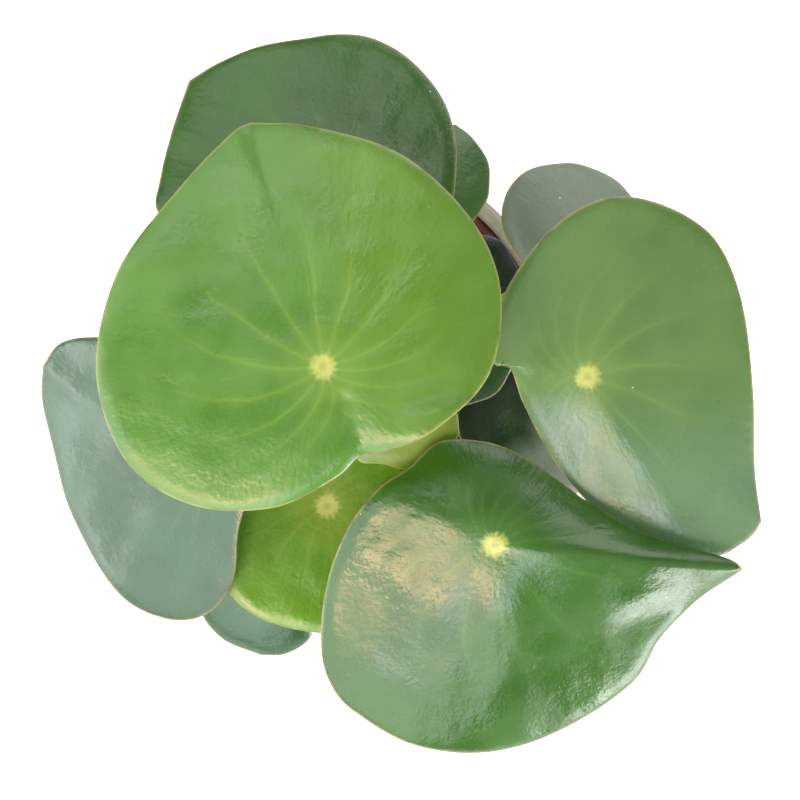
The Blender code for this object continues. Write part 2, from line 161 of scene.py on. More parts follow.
class Pattern:
    """Patterns and blends in one node tree. They lie in Object coordinates, and their sizes are real."""

    def __init__(self, tree: bpy.types.NodeTree) -> None:
        """Keep the tree that the nodes go into."""
        self.tree = tree

    def place(self) -> bpy.types.NodeSocket:
        """Object coordinates."""
        return add_node(self.tree, "TexCoord").outputs["Object"]

    def height(self) -> Number:
        """Height above the floor in mm."""
        return Number(add_node(self.tree, "SeparateXYZ", {0: self.place()}).outputs[2]) / MM

    def attribute(self, name: str) -> Number:
        """A number stored on the mesh."""
        node = add_node(self.tree, "Attribute", attribute_name=name, attribute_type="GEOMETRY")
        return Number(node.outputs["Fac"])

    def ramp(self, value: Number, low: float, high: float, start: float = 0.0, end: float = 1.0) -> Number:
        """Smooth step of a value: start at low, end at high, an S curve between.

        Args:
            value: the number that is read.
            low: the value that gives start.
            high: the value that gives end.
            start: result at low.
            end: result at high.

        Returns:
            The result.
        """
        if low > high:
            low, high, start, end = high, low, end, start
        inputs = {"Value": value, "From Min": low, "From Max": high, "To Min": start, "To Max": end}
        node = add_node(self.tree, "MapRange", inputs, interpolation_type="SMOOTHSTEP")
        return Number(node.outputs["Result"])

    def mix(self, share: Any, first: Any, second: Any) -> bpy.types.NodeSocket:
        """Blend two colours.

        Args:
            share: how much of the second colour, 0 to 1.
            first: hex colour or socket.
            second: hex colour or socket.

        Returns:
            The colour's socket.
        """
        inputs = {0: share, 6: first, 7: second}
        return add_node(self.tree, "Mix", inputs, data_type="RGBA", clamp_factor=True).outputs[2]

    def noise(self, size_mm: float, detail: float = 2.0, roughness: float = 0.5,
              distortion: float = 0.0) -> Number:
        """Smooth noise.

        Args:
            size_mm: width of one lump.
            detail: number of finer layers.
            roughness: strength of the finer layers.
            distortion: how far the lumps are pulled about.

        Returns:
            The noise, about 0.5 on average.
        """
        inputs = {"Vector": self.place(), "Scale": 1 / (size_mm * MM), "Detail": detail,
                  "Roughness": roughness, "Distortion": distortion}
        return Number(add_node(self.tree, "TexNoise", inputs).outputs["Fac"])

    def cells(self, size_mm: float) -> tuple[Number, Number]:
        """Irregular cells.

        Args:
            size_mm: width of one cell.

        Returns:
            Distance to the cell's middle, and a random number that the whole cell has.
        """
        cells = add_node(self.tree, "TexVoronoi", {"Vector": self.place(), "Scale": 1 / (size_mm * MM)})
        tint = add_node(self.tree, "SeparateColor", {0: cells.outputs["Color"]})
        return Number(cells.outputs["Distance"]), Number(tint.outputs[0])

    def bump(self, height: Any, depth_mm: float, strength: Any = 1.0,
             below: bpy.types.NodeSocket | None = None) -> bpy.types.NodeSocket:
        """Surface relief from a height.

        Args:
            height: number from 0 to 1.
            depth_mm: real depth of a height of 1.
            strength: share of the relief that shows.
            below: normal of a coarser relief that this one lies on.

        Returns:
            The normal's socket.
        """
        inputs = {"Height": height, "Distance": depth_mm * MM, "Strength": strength}
        if below is not None:
            inputs["Normal"] = below
        return add_node(self.tree, "Bump", inputs).outputs["Normal"]


class Finish:
    """A finish: its title names the material, and its paint gives the inputs of the shader."""

    title: ClassVar[str]

    def paint(self, p: Pattern) -> dict[str, Any]:
        """Inputs of the Principled shader, by name."""
        raise NotImplementedError

    def make(self) -> bpy.types.Material:
        """Build the material.

        Returns:
            The material.
        """
        material = bpy.data.materials.new(self.title)
        material.use_nodes = True
        fill(material.node_tree.nodes["Principled BSDF"], self.paint(Pattern(material.node_tree)))
        return material


class LeafAge(Enum):
    """What a blade's colour tells of its age. Some colours are painted light: near-black greens stand for
    deep shade, and grey greens stand partly for sheen.
    """

    BRIGHT = "leaf_bright"
    DEEP = "leaf_deep"
    # Painted shade: near-black greens for a blade that sits deep in shade inside the pot.
    SHADED = "leaf_shaded"
    # Painted shade and sheen: near-black greens for a blade deep in the others' shade, with a painted grey
    # sheen across one side.
    PAINTED_SHADE_SHEEN = "leaf_painted_shade_sheen"
    MID = "leaf_mid"
    BLUE = "leaf_blue"
    # Partly painted sheen: this grey-green stands in partly for the sheen on the blade.
    GREY = "leaf_grey"
    YOUNG = "leaf_young"
    TENDER = "leaf_tender"

    def slot(self) -> str:
        """The record's material slot: four of the ages share another one's."""
        shared = {LeafAge.SHADED: LeafAge.DEEP, LeafAge.PAINTED_SHADE_SHEEN: LeafAge.DEEP, LeafAge.GREY: LeafAge.BLUE,
                  LeafAge.TENDER: LeafAge.YOUNG}
        return shared.get(self, self).value


@dataclass(frozen=True)
class PaintedSideLight:
    """Painted light: a second colour that rises across a blade toward one side, turned from its tip in
    degrees. It paints how light shows that side, as a grey sheen on some blades and a brighter green on
    another.
    """

    colour: str
    turn: float
    strength: float


@dataclass(frozen=True)
class BladeMap:
    """Where a point lies on its blade, as numbers in the blade's node tree.

    The blade's own map (u, v) holds each point at its share of the way to the margin, turned so that
    the tip is at angle 0 and the notch at half a turn. Umbo is the distance from the umbo in mm.
    """

    u: Number
    v: Number
    share: Number
    umbo: Number


@dataclass(frozen=True)
class BladeFinish(Finish):
    """Waxy skin of a fleshy leaf: clear cuticle over green tissue, smooth to the touch.

    The cuticle gives soft broad highlights with a fine pebbled break-up. The tissue lets some light
    through, so thin young blades glow yellow-green.
    """

    age: LeafAge
    green: str
    second: str
    vein: str
    vein_strength: float
    under: str
    roughness: float
    glow: float
    # The flush is painted light: a colour across one side of the blade, standing in for sheen or for a
    # brighter green.
    flush: PaintedSideLight | None = None
    spot: str = "BEC668"
    spot_middle: str = "9A9C50"
    margin: str = "B79A5A"
    margin_red: str = "7E4A34"
    speck: str = "DCE6C8"
    vein_half: float = 0.75
    vein_glow: float = 2.6
    fork_start: float = 24.0
    fork_spread: float = 0.2
    fork_half: float = 0.9
    silk_count: float = 18.0
    silk_length: float = 6.0

    @property
    def title(self) -> str:
        """The material's name."""
        return self.age.value

    def paint(self, p: Pattern) -> dict[str, Any]:
        """Green tissue with its veins, a plainer and paler underside, and relief that breaks up the gloss.

        Args:
            p: the pattern maker.

        Returns:
            The shader's inputs.
        """
        flat = add_node(p.tree, "SeparateXYZ", {0: add_node(p.tree, "UVMap", uv_map="leaf").outputs["UV"]})
        u, v = Number(flat.outputs[0]), Number(flat.outputs[1])
        at = BladeMap(u, v, u.math("SQRT", u * u + v * v), p.attribute("umbo_mm"))
        top = p.attribute("top")
        # Clouds of colour 26 mm wide, mottling of 7 mm and pores of 1.1 mm.
        cloud, mottle, grain = p.noise(26, 2), p.noise(7, 3), p.noise(1.1, 2)
        veins = self.veins(p, at, cloud)
        colour = p.mix(p.ramp(cloud, 0.36, 0.64), self.green, self.second)
        colour = p.mix(p.ramp(mottle, 0.35, 0.8, 0, 0.3), colour, self.second)
        # Painted light: the flush colours one side of the blade as light shows it, with a painted sheen or a
        # painted brighter green.
        if self.flush:
            turn = math.radians(self.flush.turn)
            side = u * math.cos(turn) + v * math.sin(turn)
            colour = p.mix(p.ramp(side, -0.02, 0.45, 0, self.flush.strength), colour, self.flush.colour)
        # The tissue pales from 15 mm to 3 mm off the umbo.
        colour = p.mix(p.ramp(at.umbo, 3, 15, 0.35, 0), colour, self.vein)
        colour = p.mix(veins * self.vein_strength, colour, self.vein)
        colour = self.marks(p, at, colour, veins, grain)
        under = p.mix(veins * 0.5, self.under, self.vein)
        under = p.mix(p.ramp(mottle, 0.3, 0.75, 0, 0.35), under, self.second)

        # Silky streaks 0.13 mm deep, dimples of 3.5 mm and pores.
        normal = p.bump(self.silk(p, at), 0.13, p.ramp(at.umbo, 5, 24))
        normal = p.bump(p.noise(3.5, 2), 0.12, 1.0, normal)
        normal = p.bump(grain, 0.07, 1.0, normal)
        rough = p.ramp(p.noise(13, 3), 0.3, 0.7, self.roughness - 0.06, self.roughness + 0.08)
        return {"Base Color": p.mix(top, under, colour), "Roughness": rough + (1.0 - top) * 0.18,
                "Normal": normal, "IOR": 1.48, "Specular IOR Level": 0.8, "Subsurface Weight": self.glow,
                "Subsurface Radius": (0.5, 1.0, 0.12), "Subsurface Scale": 1.8 * MM}

    def veins(self, p: Pattern, at: BladeMap, cloud: Number) -> Number:
        """Main veins that bend toward the tip, each with a soft glow, and their forks.

        A vein leaves the umbo at a steady spacing and bends toward the tip: its first angle is the
        angle on the map divided by one less curl times share.

        Args:
            p: the pattern maker.
            at: the place on the blade.
            cloud: noise that makes the veins wander.

        Returns:
            Strength of the veins from 0 to 1.
        """
        wander = (cloud - 0.5) * (at.share * 0.55)
        open_up = 1.0 - at.share * VEIN_CURL
        first = (at.u.math("ARCTAN2", at.v, at.u) + wander) / open_up - VEIN_PHASE
        off = abs(first.math("FRACT", first / VEIN_SPACING + 0.5) - 0.5)
        away = off * (at.umbo * VEIN_SPACING * open_up)
        main = p.ramp(away, 0, self.vein_half, 0.6, 0) + p.ramp(away, 0, self.vein_glow, 0.4, 0)
        main = main * p.ramp(at.share, 0.3, 0.85, 1, 0)
        fork = (at.umbo - self.fork_start).at_least(0.0) * self.fork_spread
        branch = p.ramp(abs(away - fork), 0, self.fork_half, 0.2, 0) * p.ramp(at.umbo, self.fork_start, 32)
        return main.at_least(branch * p.ramp(at.share, 0.5, 0.9, 1, 0))

    def silk(self, p: Pattern, at: BladeMap) -> bpy.types.NodeSocket:
        """Fine silky streaks that run out from the umbo: noise on the direction and the distance.

        A streak is about 6 mm long and an eighteenth of its distance from the umbo wide.

        Args:
            p: the pattern maker.
            at: the place on the blade.

        Returns:
            Height of the streaks from 0 to 1.
        """
        radial = self.silk_count / at.share.at_least(0.01)
        along = at.umbo / self.silk_length
        place = add_node(p.tree, "CombineXYZ", {0: at.u * radial, 1: at.v * radial, 2: along})
        inputs = {"Vector": place.outputs[0], "Scale": 1.0, "Detail": 3.0}
        return add_node(p.tree, "TexNoise", inputs).outputs["Fac"]

    def marks(self, p: Pattern, at: BladeMap, colour: Any, veins: Number, grain: Number) -> Any:
        """Lay the umbo's spot, the margin's line and a few specks of dust over a blade's colour.

        The spot over the stalk is pale yellow and ragged, 1.4 to 4 mm in radius, with rays along the
        veins and a darker middle. The margin's line is straw, reddish brown in places, under 0.5 mm.

        Args:
            p: the pattern maker.
            at: the place on the blade.
            colour: the colour so far.
            veins: strength of the veins.
            grain: fine noise for the spot's ragged edge.

        Returns:
            The colour's socket.
        """
        ragged = at.umbo - veins * 0.5 + (grain - 0.5) * 2.4
        colour = p.mix(p.ramp(ragged, 1.4, 4.0, 0.95, 0), colour, self.spot)
        colour = p.mix(p.ramp(at.umbo, 0.3, 1.6, 0.5, 0), colour, self.spot_middle)
        line = p.mix(p.ramp(p.noise(9, 2), 0.48, 0.66), self.margin, self.margin_red)
        colour = p.mix(p.ramp(p.attribute("edge_mm"), 0.1, 0.5, 0.4, 0), colour, line)
        # Specks about 0.5 mm wide in three cells of ten, and a cell is 9 mm.
        middle, chance = p.cells(9)
        return p.mix(p.ramp(middle, 0.02, 0.04, 1, 0) * p.ramp(chance, 0.7, 0.72), colour, self.speck)


@dataclass(frozen=True)
class StalkFinish(Finish):
    """Smooth fleshy skin of the leaf stalks: pale green, flushed red where they leave the stem."""

    title: ClassVar[str] = "petiole_skin"
    green: str = "86A552"
    pale: str = "A9BE6A"
    flush: str = "8A4B3C"

    def paint(self, p: Pattern) -> dict[str, Any]:
        """Streaks along the stalk, and a flush that fades 4 to 34 mm along it.

        Args:
            p: the pattern maker.

        Returns:
            The shader's inputs.
        """
        colour = p.mix(p.ramp(p.noise(5, 3), 0.4, 0.65), self.green, self.pale)
        flush = p.ramp(p.attribute("along_mm"), 4, 34, 0.75, 0) * p.ramp(p.noise(1.6, 2), 0.35, 0.6, 0.5, 1)
        return {"Base Color": p.mix(flush, colour, self.flush), "Roughness": 0.36, "IOR": 1.45,
                "Normal": p.bump(p.noise(1.5, 2), 0.08, 0.5), "Subsurface Weight": 0.15,
                "Subsurface Radius": (0.5, 1.0, 0.15), "Subsurface Scale": 1.5 * MM}


@dataclass(frozen=True)
class StemFinish(Finish):
    """Fleshy stem, green at the top, with corky brown scars and a woody foot."""

    title: ClassVar[str] = "stem_skin"
    green: str = "74823F"
    brown: str = "6B5236"
    cork: str = "A08A62"

    def paint(self, p: Pattern) -> dict[str, Any]:
        """Brown rises from the foot to about 130 mm; cork follows the pores and the stored scars.

        Args:
            p: the pattern maker.

        Returns:
            The shader's inputs.
        """
        wavy_height = p.height() + (p.noise(6, 3) - 0.5) * 30
        pores = p.ramp(p.cells(2.2)[0], 0.12, 0.24, 0.5, 0)
        colour = p.mix(p.ramp(wavy_height, 115, 150, 1, 0), self.green, self.brown)
        colour = p.mix(pores, colour, self.cork)
        colour = p.mix(p.attribute("scar") * 0.8, colour, self.cork)
        return {"Base Color": colour, "Roughness": 0.55, "Normal": p.bump(p.noise(1.4, 3) + pores, 0.2, 0.6)}


@dataclass(frozen=True)
class SoilFinish(Finish):
    """Damp peat compost: dark crumbs with fibres and a little pale grit."""

    title: ClassVar[str] = "potting_soil"
    dark: str = "1E1611"
    crumb: str = "3B2C20"
    fibre: str = "6A5138"
    grit: str = "8E8474"

    def paint(self, p: Pattern) -> dict[str, Any]:
        """Crumbs of 2.4 mm in two browns, streaked with fibre, very rough.

        Args:
            p: the pattern maker.

        Returns:
            The shader's inputs.
        """
        middle, chance = p.cells(2.4)
        colour = p.mix(p.ramp(chance, 0.2, 0.9), self.dark, self.crumb)
        colour = p.mix(p.ramp(p.noise(0.9, 3, 0.6, 1.5), 0.62, 0.72, 0, 0.7), colour, self.fibre)
        colour = p.mix(p.ramp(chance, 0.93, 0.95, 0, 0.6), colour, self.grit)
        return {"Base Color": colour, "Roughness": 0.95, "Specular IOR Level": 0.2,
                "Normal": p.bump(middle + p.noise(0.7, 3), 1.0, 0.9)}


@dataclass(frozen=True)
class GritFinish(Finish):
    """Perlite: white volcanic foam grains, dusty and matt."""

    title: ClassVar[str] = "perlite"
    white: str = "D8D2C4"
    dusty: str = "A89C88"

    def paint(self, p: Pattern) -> dict[str, Any]:
        """Dust lies in the hollows of a surface with pits of 0.8 mm.

        Args:
            p: the pattern maker.

        Returns:
            The shader's inputs.
        """
        pits = p.noise(0.8, 3)
        colour = p.mix(p.ramp(pits, 0.4, 0.6), self.dusty, self.white)
        return {"Base Color": colour, "Roughness": 0.9, "Normal": p.bump(pits, 0.3, 0.8)}


@dataclass(frozen=True)
class PlasticFinish(Finish):
    """Injection-moulded polypropylene in brick red: satin, finely spark-eroded, with soil dust."""

    title: ClassVar[str] = "nursery_plastic"
    red: str = "8C4A40"
    worn: str = "A4685A"
    dust: str = "4A3A2E"

    def paint(self, p: Pattern) -> dict[str, Any]:
        """Fine grain all over, paler scuffs of 11 mm, and dust that thickens toward the soil.

        Args:
            p: the pattern maker.

        Returns:
            The shader's inputs.
        """
        wavy_height = p.height() + (p.noise(3, 3) - 0.5) * 8
        colour = p.mix(p.ramp(p.noise(11, 3), 0.5, 0.75, 0, 0.5), self.red, self.worn)
        colour = p.mix(p.ramp(wavy_height, 101, 109, 0.8, 0), colour, self.dust)
        return {"Base Color": colour, "Roughness": p.ramp(p.noise(6, 2), 0.3, 0.7, 0.38, 0.55),
                "Normal": p.bump(p.noise(0.5, 1), 0.03, 0.6)}


@dataclass(frozen=True)
class GlazeFinish(Finish):
    """Two glazes on stoneware, glassy and a little uneven: cream inside and on the rim, and stone outside.

    Where the glaze ran off the lip it is thin and browner.
    """

    title: ClassVar[str] = "cover_glaze"
    cream: str = "DDD6C4"
    cream_shade: str = "CCC3AC"
    stone: str = "A79D87"
    stone_shade: str = "A09680"
    speck: str = "7A6248"
    thin: str = "A48F6C"
    bisque: str = "B9A488"
    ring_spacing: float = 7.0

    def paint(self, p: Pattern) -> dict[str, Any]:
        """Cloudy two-tone glaze, iron specks, faint throwing rings, and a bare foot under 2 mm.

        Args:
            p: the pattern maker.

        Returns:
            The shader's inputs.
        """
        cloud = p.ramp(p.noise(34, 3), 0.35, 0.65)
        outer = p.mix(cloud, self.stone, self.stone_shade)
        colour = p.mix(p.attribute("inside"), outer, p.mix(cloud, self.cream, self.cream_shade))
        middle, chance = p.cells(5)
        colour = p.mix(p.ramp(middle, 0.03, 0.09, 0.7, 0) * p.ramp(chance, 0.6, 0.65), colour, self.speck)
        thin = p.attribute("lip") * p.ramp(p.noise(8, 2), 0.35, 0.6, 0.1, 0.5)
        colour = p.mix(thin, colour, self.thin)
        bare = p.ramp(p.height() + p.noise(9, 2) * 1.2, 2.2, 2.6, 1, 0)
        # The wave texture repeats 6.3 times in a unit of its scale.
        wave = {"Vector": p.place(), "Scale": 1 / (self.ring_spacing * MM) / 6.3, "Distortion": 1.5,
                "Detail": 2.0}
        rings = add_node(p.tree, "TexWave", wave, wave_type="BANDS", bands_direction="Z",
                         wave_profile="SIN").outputs["Fac"]
        normal = p.bump(p.noise(14, 2), 0.25, 0.5, p.bump(rings, 0.12, 0.5))
        return {"Base Color": p.mix(bare, colour, self.bisque), "Roughness": bare * 0.6 + 0.16,
                "Normal": normal, "IOR": 1.5}


def add_object(name: str, data: Any) -> bpy.types.Object:
    """Put an object into the scene, at the origin.

    Args:
        name: the object's name.
        data: its mesh, light or camera.

    Returns:
        The object.
    """
    piece = bpy.data.objects.new(name, data)
    bpy.context.scene.collection.objects.link(piece)
    return piece


def finish_piece(piece: bpy.types.Object, material: bpy.types.Material, slot: str, *nodes: str) -> None:
    """Dress a piece, hang it on the body and hide the CAD nodes that it stands for.

    Args:
        piece: the finished piece.
        material: its material.
        slot: the record's material slot.
        nodes: the CAD nodes that it replaces.
    """
    piece.data.materials.append(material)
    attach(piece, BODY)
    if nodes:
        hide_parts(*nodes)
    log.info("%s: %d faces, %s", piece.name, len(piece.data.polygons), slot)


def full_turn(around: int) -> np.ndarray:
    """Even angles once round, in radians."""
    return np.arange(around) / around * math.tau


def distances(path: np.ndarray) -> np.ndarray:
    """Distance along a path to each of its points."""
    return np.concatenate([[0], np.cumsum(np.linalg.norm(np.diff(path, axis=0), axis=1))])


def shell_faces(count: int, around: int) -> tuple[np.ndarray, np.ndarray]:
    """Faces of a shell of rings with a pole at each end: a fan at each pole, and quads between rings.

    The points are numbered start pole first, then ring by ring, then end pole.

    Args:
        count: number of rings.
        around: points in each ring.

    Returns:
        The triangles and the quads.
    """
    near = np.arange(around)
    far = (near + 1) % around
    row = 1 + np.arange(count - 1)[:, None] * around
    quads = np.stack([row + near, row + near + around, row + far + around, row + far], axis=-1)
    tail = 1 + (count - 1) * around
    first_fan = np.stack([near * 0, 1 + near, 1 + far], axis=-1)
    last_fan = np.stack([near * 0 + tail + around, tail + far, tail + near], axis=-1)
    return np.vstack([first_fan, last_fan]), quads.reshape(-1, 4)


def closed_shell(name: str, rings: np.ndarray, start: Any, end: Any,
                 values: Mapping[str, tuple[float, np.ndarray, float]],
                 chart: np.ndarray | None = None) -> bpy.types.Object:
    """Make a closed mesh from rings of points with a pole at each end.

    Args:
        name: the piece's name.
        rings: points in mm, shaped (rings, points round, 3).
        start: the pole before the first ring.
        end: the pole after the last ring.
        values: numbers to store, each as (at the start, on the rings, at the end).
        chart: map coordinates of the rings' points, shaped (rings, points round, 2), or None.

    Returns:
        The object, at the origin, its faces pointing out.
    """
    points = np.vstack([start, rings.reshape(-1, 3), end]) * MM
    tris, quads = shell_faces(*rings.shape[:2])
    split = np.vstack([tris, quads[:, [0, 1, 2]], quads[:, [0, 2, 3]]])
    a, b, c = (points[split[:, i]] for i in range(3))
    if np.einsum("ij,ij->i", a, np.cross(b, c)).sum() < 0:
        quads = quads[:, ::-1]
        tris = tris[:, ::-1]
    corners = np.concatenate([tris.ravel(), quads.ravel()])
    starts = np.concatenate([np.arange(len(tris)) * 3, len(tris) * 3 + np.arange(len(quads)) * 4])
    mesh = bpy.data.meshes.new(name)
    mesh.vertices.add(len(points))
    mesh.vertices.foreach_set("co", points.ravel())
    mesh.loops.add(len(corners))
    mesh.loops.foreach_set("vertex_index", corners)
    mesh.polygons.add(len(starts))
    mesh.polygons.foreach_set("loop_start", starts)
    mesh.update(calc_edges=True)
    mesh.validate()
    mesh.shade_smooth()
    for key, (first, middle, last) in values.items():
        numbers = np.concatenate([[first], np.ravel(middle), [last]])
        mesh.attributes.new(key, "FLOAT", "POINT").data.foreach_set("value", numbers)
    if chart is not None:
        spread = np.vstack([[0, 0], chart.reshape(-1, 2), [0, 0]])
        mesh.uv_layers.new(name="leaf").data.foreach_set("uv", spread[corners].ravel())
    return add_object(name, mesh)


def turned_rings(profile: np.ndarray, around: int) -> np.ndarray:
    """Turn a profile round Z: each point (radius, height) becomes a level ring.

    Args:
        profile: points in mm, shaped (n, 2).
        around: points in each ring.

    Returns:
        Points shaped (n, around, 3).
    """
    turn = full_turn(around)
    radius = profile[:, 0, None]
    height = np.broadcast_to(profile[:, 1, None], (len(profile), around))
    return np.stack([radius * np.cos(turn), radius * np.sin(turn), height], axis=-1)


def rounded_profile(corners: list[tuple[float, float, float]], step: float) -> np.ndarray:
    """Profile through corners, each rounded with its own radius, sampled at even steps.

    A corner's arc is a quadratic curve from one radius before it to one radius after it.

    Args:
        corners: (radius, height, rounding) in mm.
        step: distance between points in mm.

    Returns:
        Points shaped (n, 2).
    """
    marks = np.array(corners, float)
    path = [marks[0, :2]]
    t = np.linspace(0, 1, 9)[:, None]
    for before, corner, after in zip(marks, marks[1:], marks[2:]):
        middle, rounding = corner[:2], corner[2]
        ways = before[:2] - middle, after[:2] - middle
        a, b = (middle + way * min(rounding / np.linalg.norm(way), 0.49) for way in ways)
        path.extend(a * (1 - t) ** 2 + middle * 2 * t * (1 - t) + b * t ** 2)
    path.append(marks[-1, :2])
    dense = np.array(path)
    dense = dense[np.concatenate([[True], np.diff(distances(dense)) > 1e-6])]
    along = distances(dense)
    places = np.unique(np.concatenate([along, np.arange(step, along[-1], step)]))
    places = places[np.concatenate([[True], np.diff(places) > step * 0.2])]
    return np.stack([np.interp(places, along, dense[:, i]) for i in (0, 1)], axis=-1)


@dataclass
class CoverPot:
    """Glazed cover pot, read from its CAD box: thick wall, rounded lip, flat underside."""

    wall: float = 4.0
    floor: float = 6.0
    foot_radius: float = 52.0
    foot_round: float = 2.5
    inner_round: float = 5.0
    thin_lip: float = 2.2
    cream_edge: float = 1.6
    around: int = 160
    step: float = 2.4
    height: float = field(init=False)
    rim_radius: float = field(init=False)

    def __post_init__(self) -> None:
        """Take the height and rim from the frame."""
        low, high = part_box("cover_pot")
        self.height = high.z / MM
        self.rim_radius = high.x / MM

    def build(self) -> None:
        """Turn the wall's outline, and mark the lip for the thin glaze and the inside for the cream one.

        Both marks fade down the wall as a bell of the depth below the rim.
        """
        slope = (self.rim_radius - self.foot_radius) / self.height
        inner_foot = self.foot_radius + slope * self.floor - self.wall
        lip = self.wall * 0.5
        outline = rounded_profile([
            (0, self.floor, 0), (inner_foot, self.floor, self.inner_round),
            (self.rim_radius - self.wall, self.height, lip), (self.rim_radius, self.height, lip),
            (self.foot_radius, 0, self.foot_round), (0, 0, 0)], self.step)
        rings = turned_rings(outline[1:-1], self.around)
        below = self.height - rings[..., 2]
        outside = (np.arange(len(rings)) > rings[:, 0, 2].argmax())[:, None]
        inside = np.where(outside, np.exp(-(below / self.cream_edge) ** 2), 1)
        values = {"lip": (0, np.exp(-(below / self.thin_lip) ** 2), 0), "inside": (1, inside, 0)}
        piece = closed_shell("cover_pot_glazed", rings, (0, 0, self.floor), (0, 0, 0), values)
        finish_piece(piece, GlazeFinish().make(), "cover_glaze", "cover_pot")


@dataclass
class NurseryPot:
    """Thin moulded pot with a folded collar, a plain foot, and faint upright ribs round the collar."""

    wall: float = 1.2
    collar_wall: float = 2.2
    collar_height: float = 9.0
    floor: float = 1.6
    foot_radius: float = 45.0
    neck_radius: float = 60.4
    collar_draft: float = 1.3
    around: int = 144
    step: float = 2.4
    rib_count: int = 24
    rib_depth: float = 0.25
    rib_free_top: float = 1.5

    def build(self) -> None:
        """Turn the wall's outline, and press the ribs' grooves into the outside of the collar."""
        low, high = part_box("nursery_pot")
        base, top, rim = low.z / MM, high.z / MM, high.x / MM
        collar = top - self.collar_height
        outline = rounded_profile([
            (0, base + self.floor, 0), (self.foot_radius - self.wall, base + self.floor, 2),
            (self.neck_radius - self.wall, collar, 1), (rim - self.collar_wall, collar + 2, 1),
            (rim - self.collar_wall, top, 1), (rim, top, 1), (rim - self.collar_draft, collar, 0.5),
            (self.neck_radius, collar, 0.3), (self.foot_radius, base, 1), (0, base, 0)], self.step)
        rings = turned_rings(outline[1:-1], self.around)
        radius = np.linalg.norm(rings[..., :2], axis=-1)
        turn = np.arctan2(rings[..., 1], rings[..., 0])
        on_collar = (radius > rim - self.collar_draft - 0.1) & (rings[..., 2] < top - self.rib_free_top)
        groove = self.rib_depth * np.clip(np.cos(turn * self.rib_count) * 4 - 3, 0, 1) * on_collar
        rings[..., :2] *= ((radius - groove) / radius)[..., None]
        piece = closed_shell("nursery_pot_moulded", rings, (0, 0, base + self.floor), (0, 0, base), {})
        finish_piece(piece, PlasticFinish().make(), "nursery_plastic", "nursery_pot")


def smooth_lumps(x: np.ndarray, y: np.ndarray, size: float, seed: int, layers: int = 3) -> np.ndarray:
    """Gentle seeded relief: a sum of sine waves in random directions, each layer finer and lower.

    Args:
        x: first coordinate in mm.
        y: second coordinate in mm.
        size: width of the largest lumps in mm.
        seed: seed of the random directions and phases.
        layers: number of layers.

    Returns:
        Relief between about -1 and 1.
    """
    draw = np.random.default_rng(seed)
    total = np.zeros_like(x)
    for layer in range(layers):
        for _ in range(4):
            angle, phase = draw.uniform(0, math.tau, 2)
            pace = math.tau / (size * 0.55 ** layer) * draw.uniform(0.7, 1.3)
            total += np.sin((x * math.cos(angle) + y * math.sin(angle)) * pace + phase) * 0.6 ** layer
    return total / 5


def crumbs(name: str, places: np.ndarray, sizes: np.ndarray, seed: int) -> bpy.types.Object:
    """Scatter small rough lumps: each is a six-sided bead of three rings, squashed and dented.

    Args:
        name: the piece's name.
        places: centres in mm, shaped (n, 3).
        sizes: radii in mm, shaped (n,).
        seed: seed of the dents and turns.

    Returns:
        One object that holds all the lumps.
    """
    draw = np.random.default_rng(seed)
    around, levels = 6, 3
    turn = full_turn(around)
    rise = (np.arange(levels) + 1) / (levels + 1) * math.pi
    ball = np.stack([np.outer(np.sin(rise), np.cos(turn)), np.outer(np.sin(rise), np.sin(turn)),
                     np.outer(np.cos(rise), np.ones(around))], axis=-1).reshape(-1, 3)
    ball = np.vstack([[[0, 0, 1]], ball, [[0, 0, -1]]])
    count = len(places)
    dents = draw.uniform(0.7, 1.2, (count, len(ball), 1))
    squash = draw.uniform(0.55, 1.1, (count, 1, 3))
    spin = draw.uniform(0, math.tau, count)
    lumps = ball[None] * dents * squash * sizes[:, None, None]
    cos, sin = np.cos(spin)[:, None], np.sin(spin)[:, None]
    lumps = np.stack([lumps[..., 0] * cos - lumps[..., 2] * sin, lumps[..., 1],
                      lumps[..., 0] * sin + lumps[..., 2] * cos], axis=-1)
    points = (lumps + places[:, None]).reshape(-1, 3) * MM
    shift = np.arange(count)[:, None, None] * len(ball)
    faces: list[list[int]] = []
    for part in shell_faces(levels, around):
        faces += (part[None] + shift).reshape(-1, part.shape[1]).tolist()
    mesh = bpy.data.meshes.new(name)
    mesh.from_pydata(points.tolist(), [], faces)
    mesh.shade_smooth()
    return add_object(name, mesh)


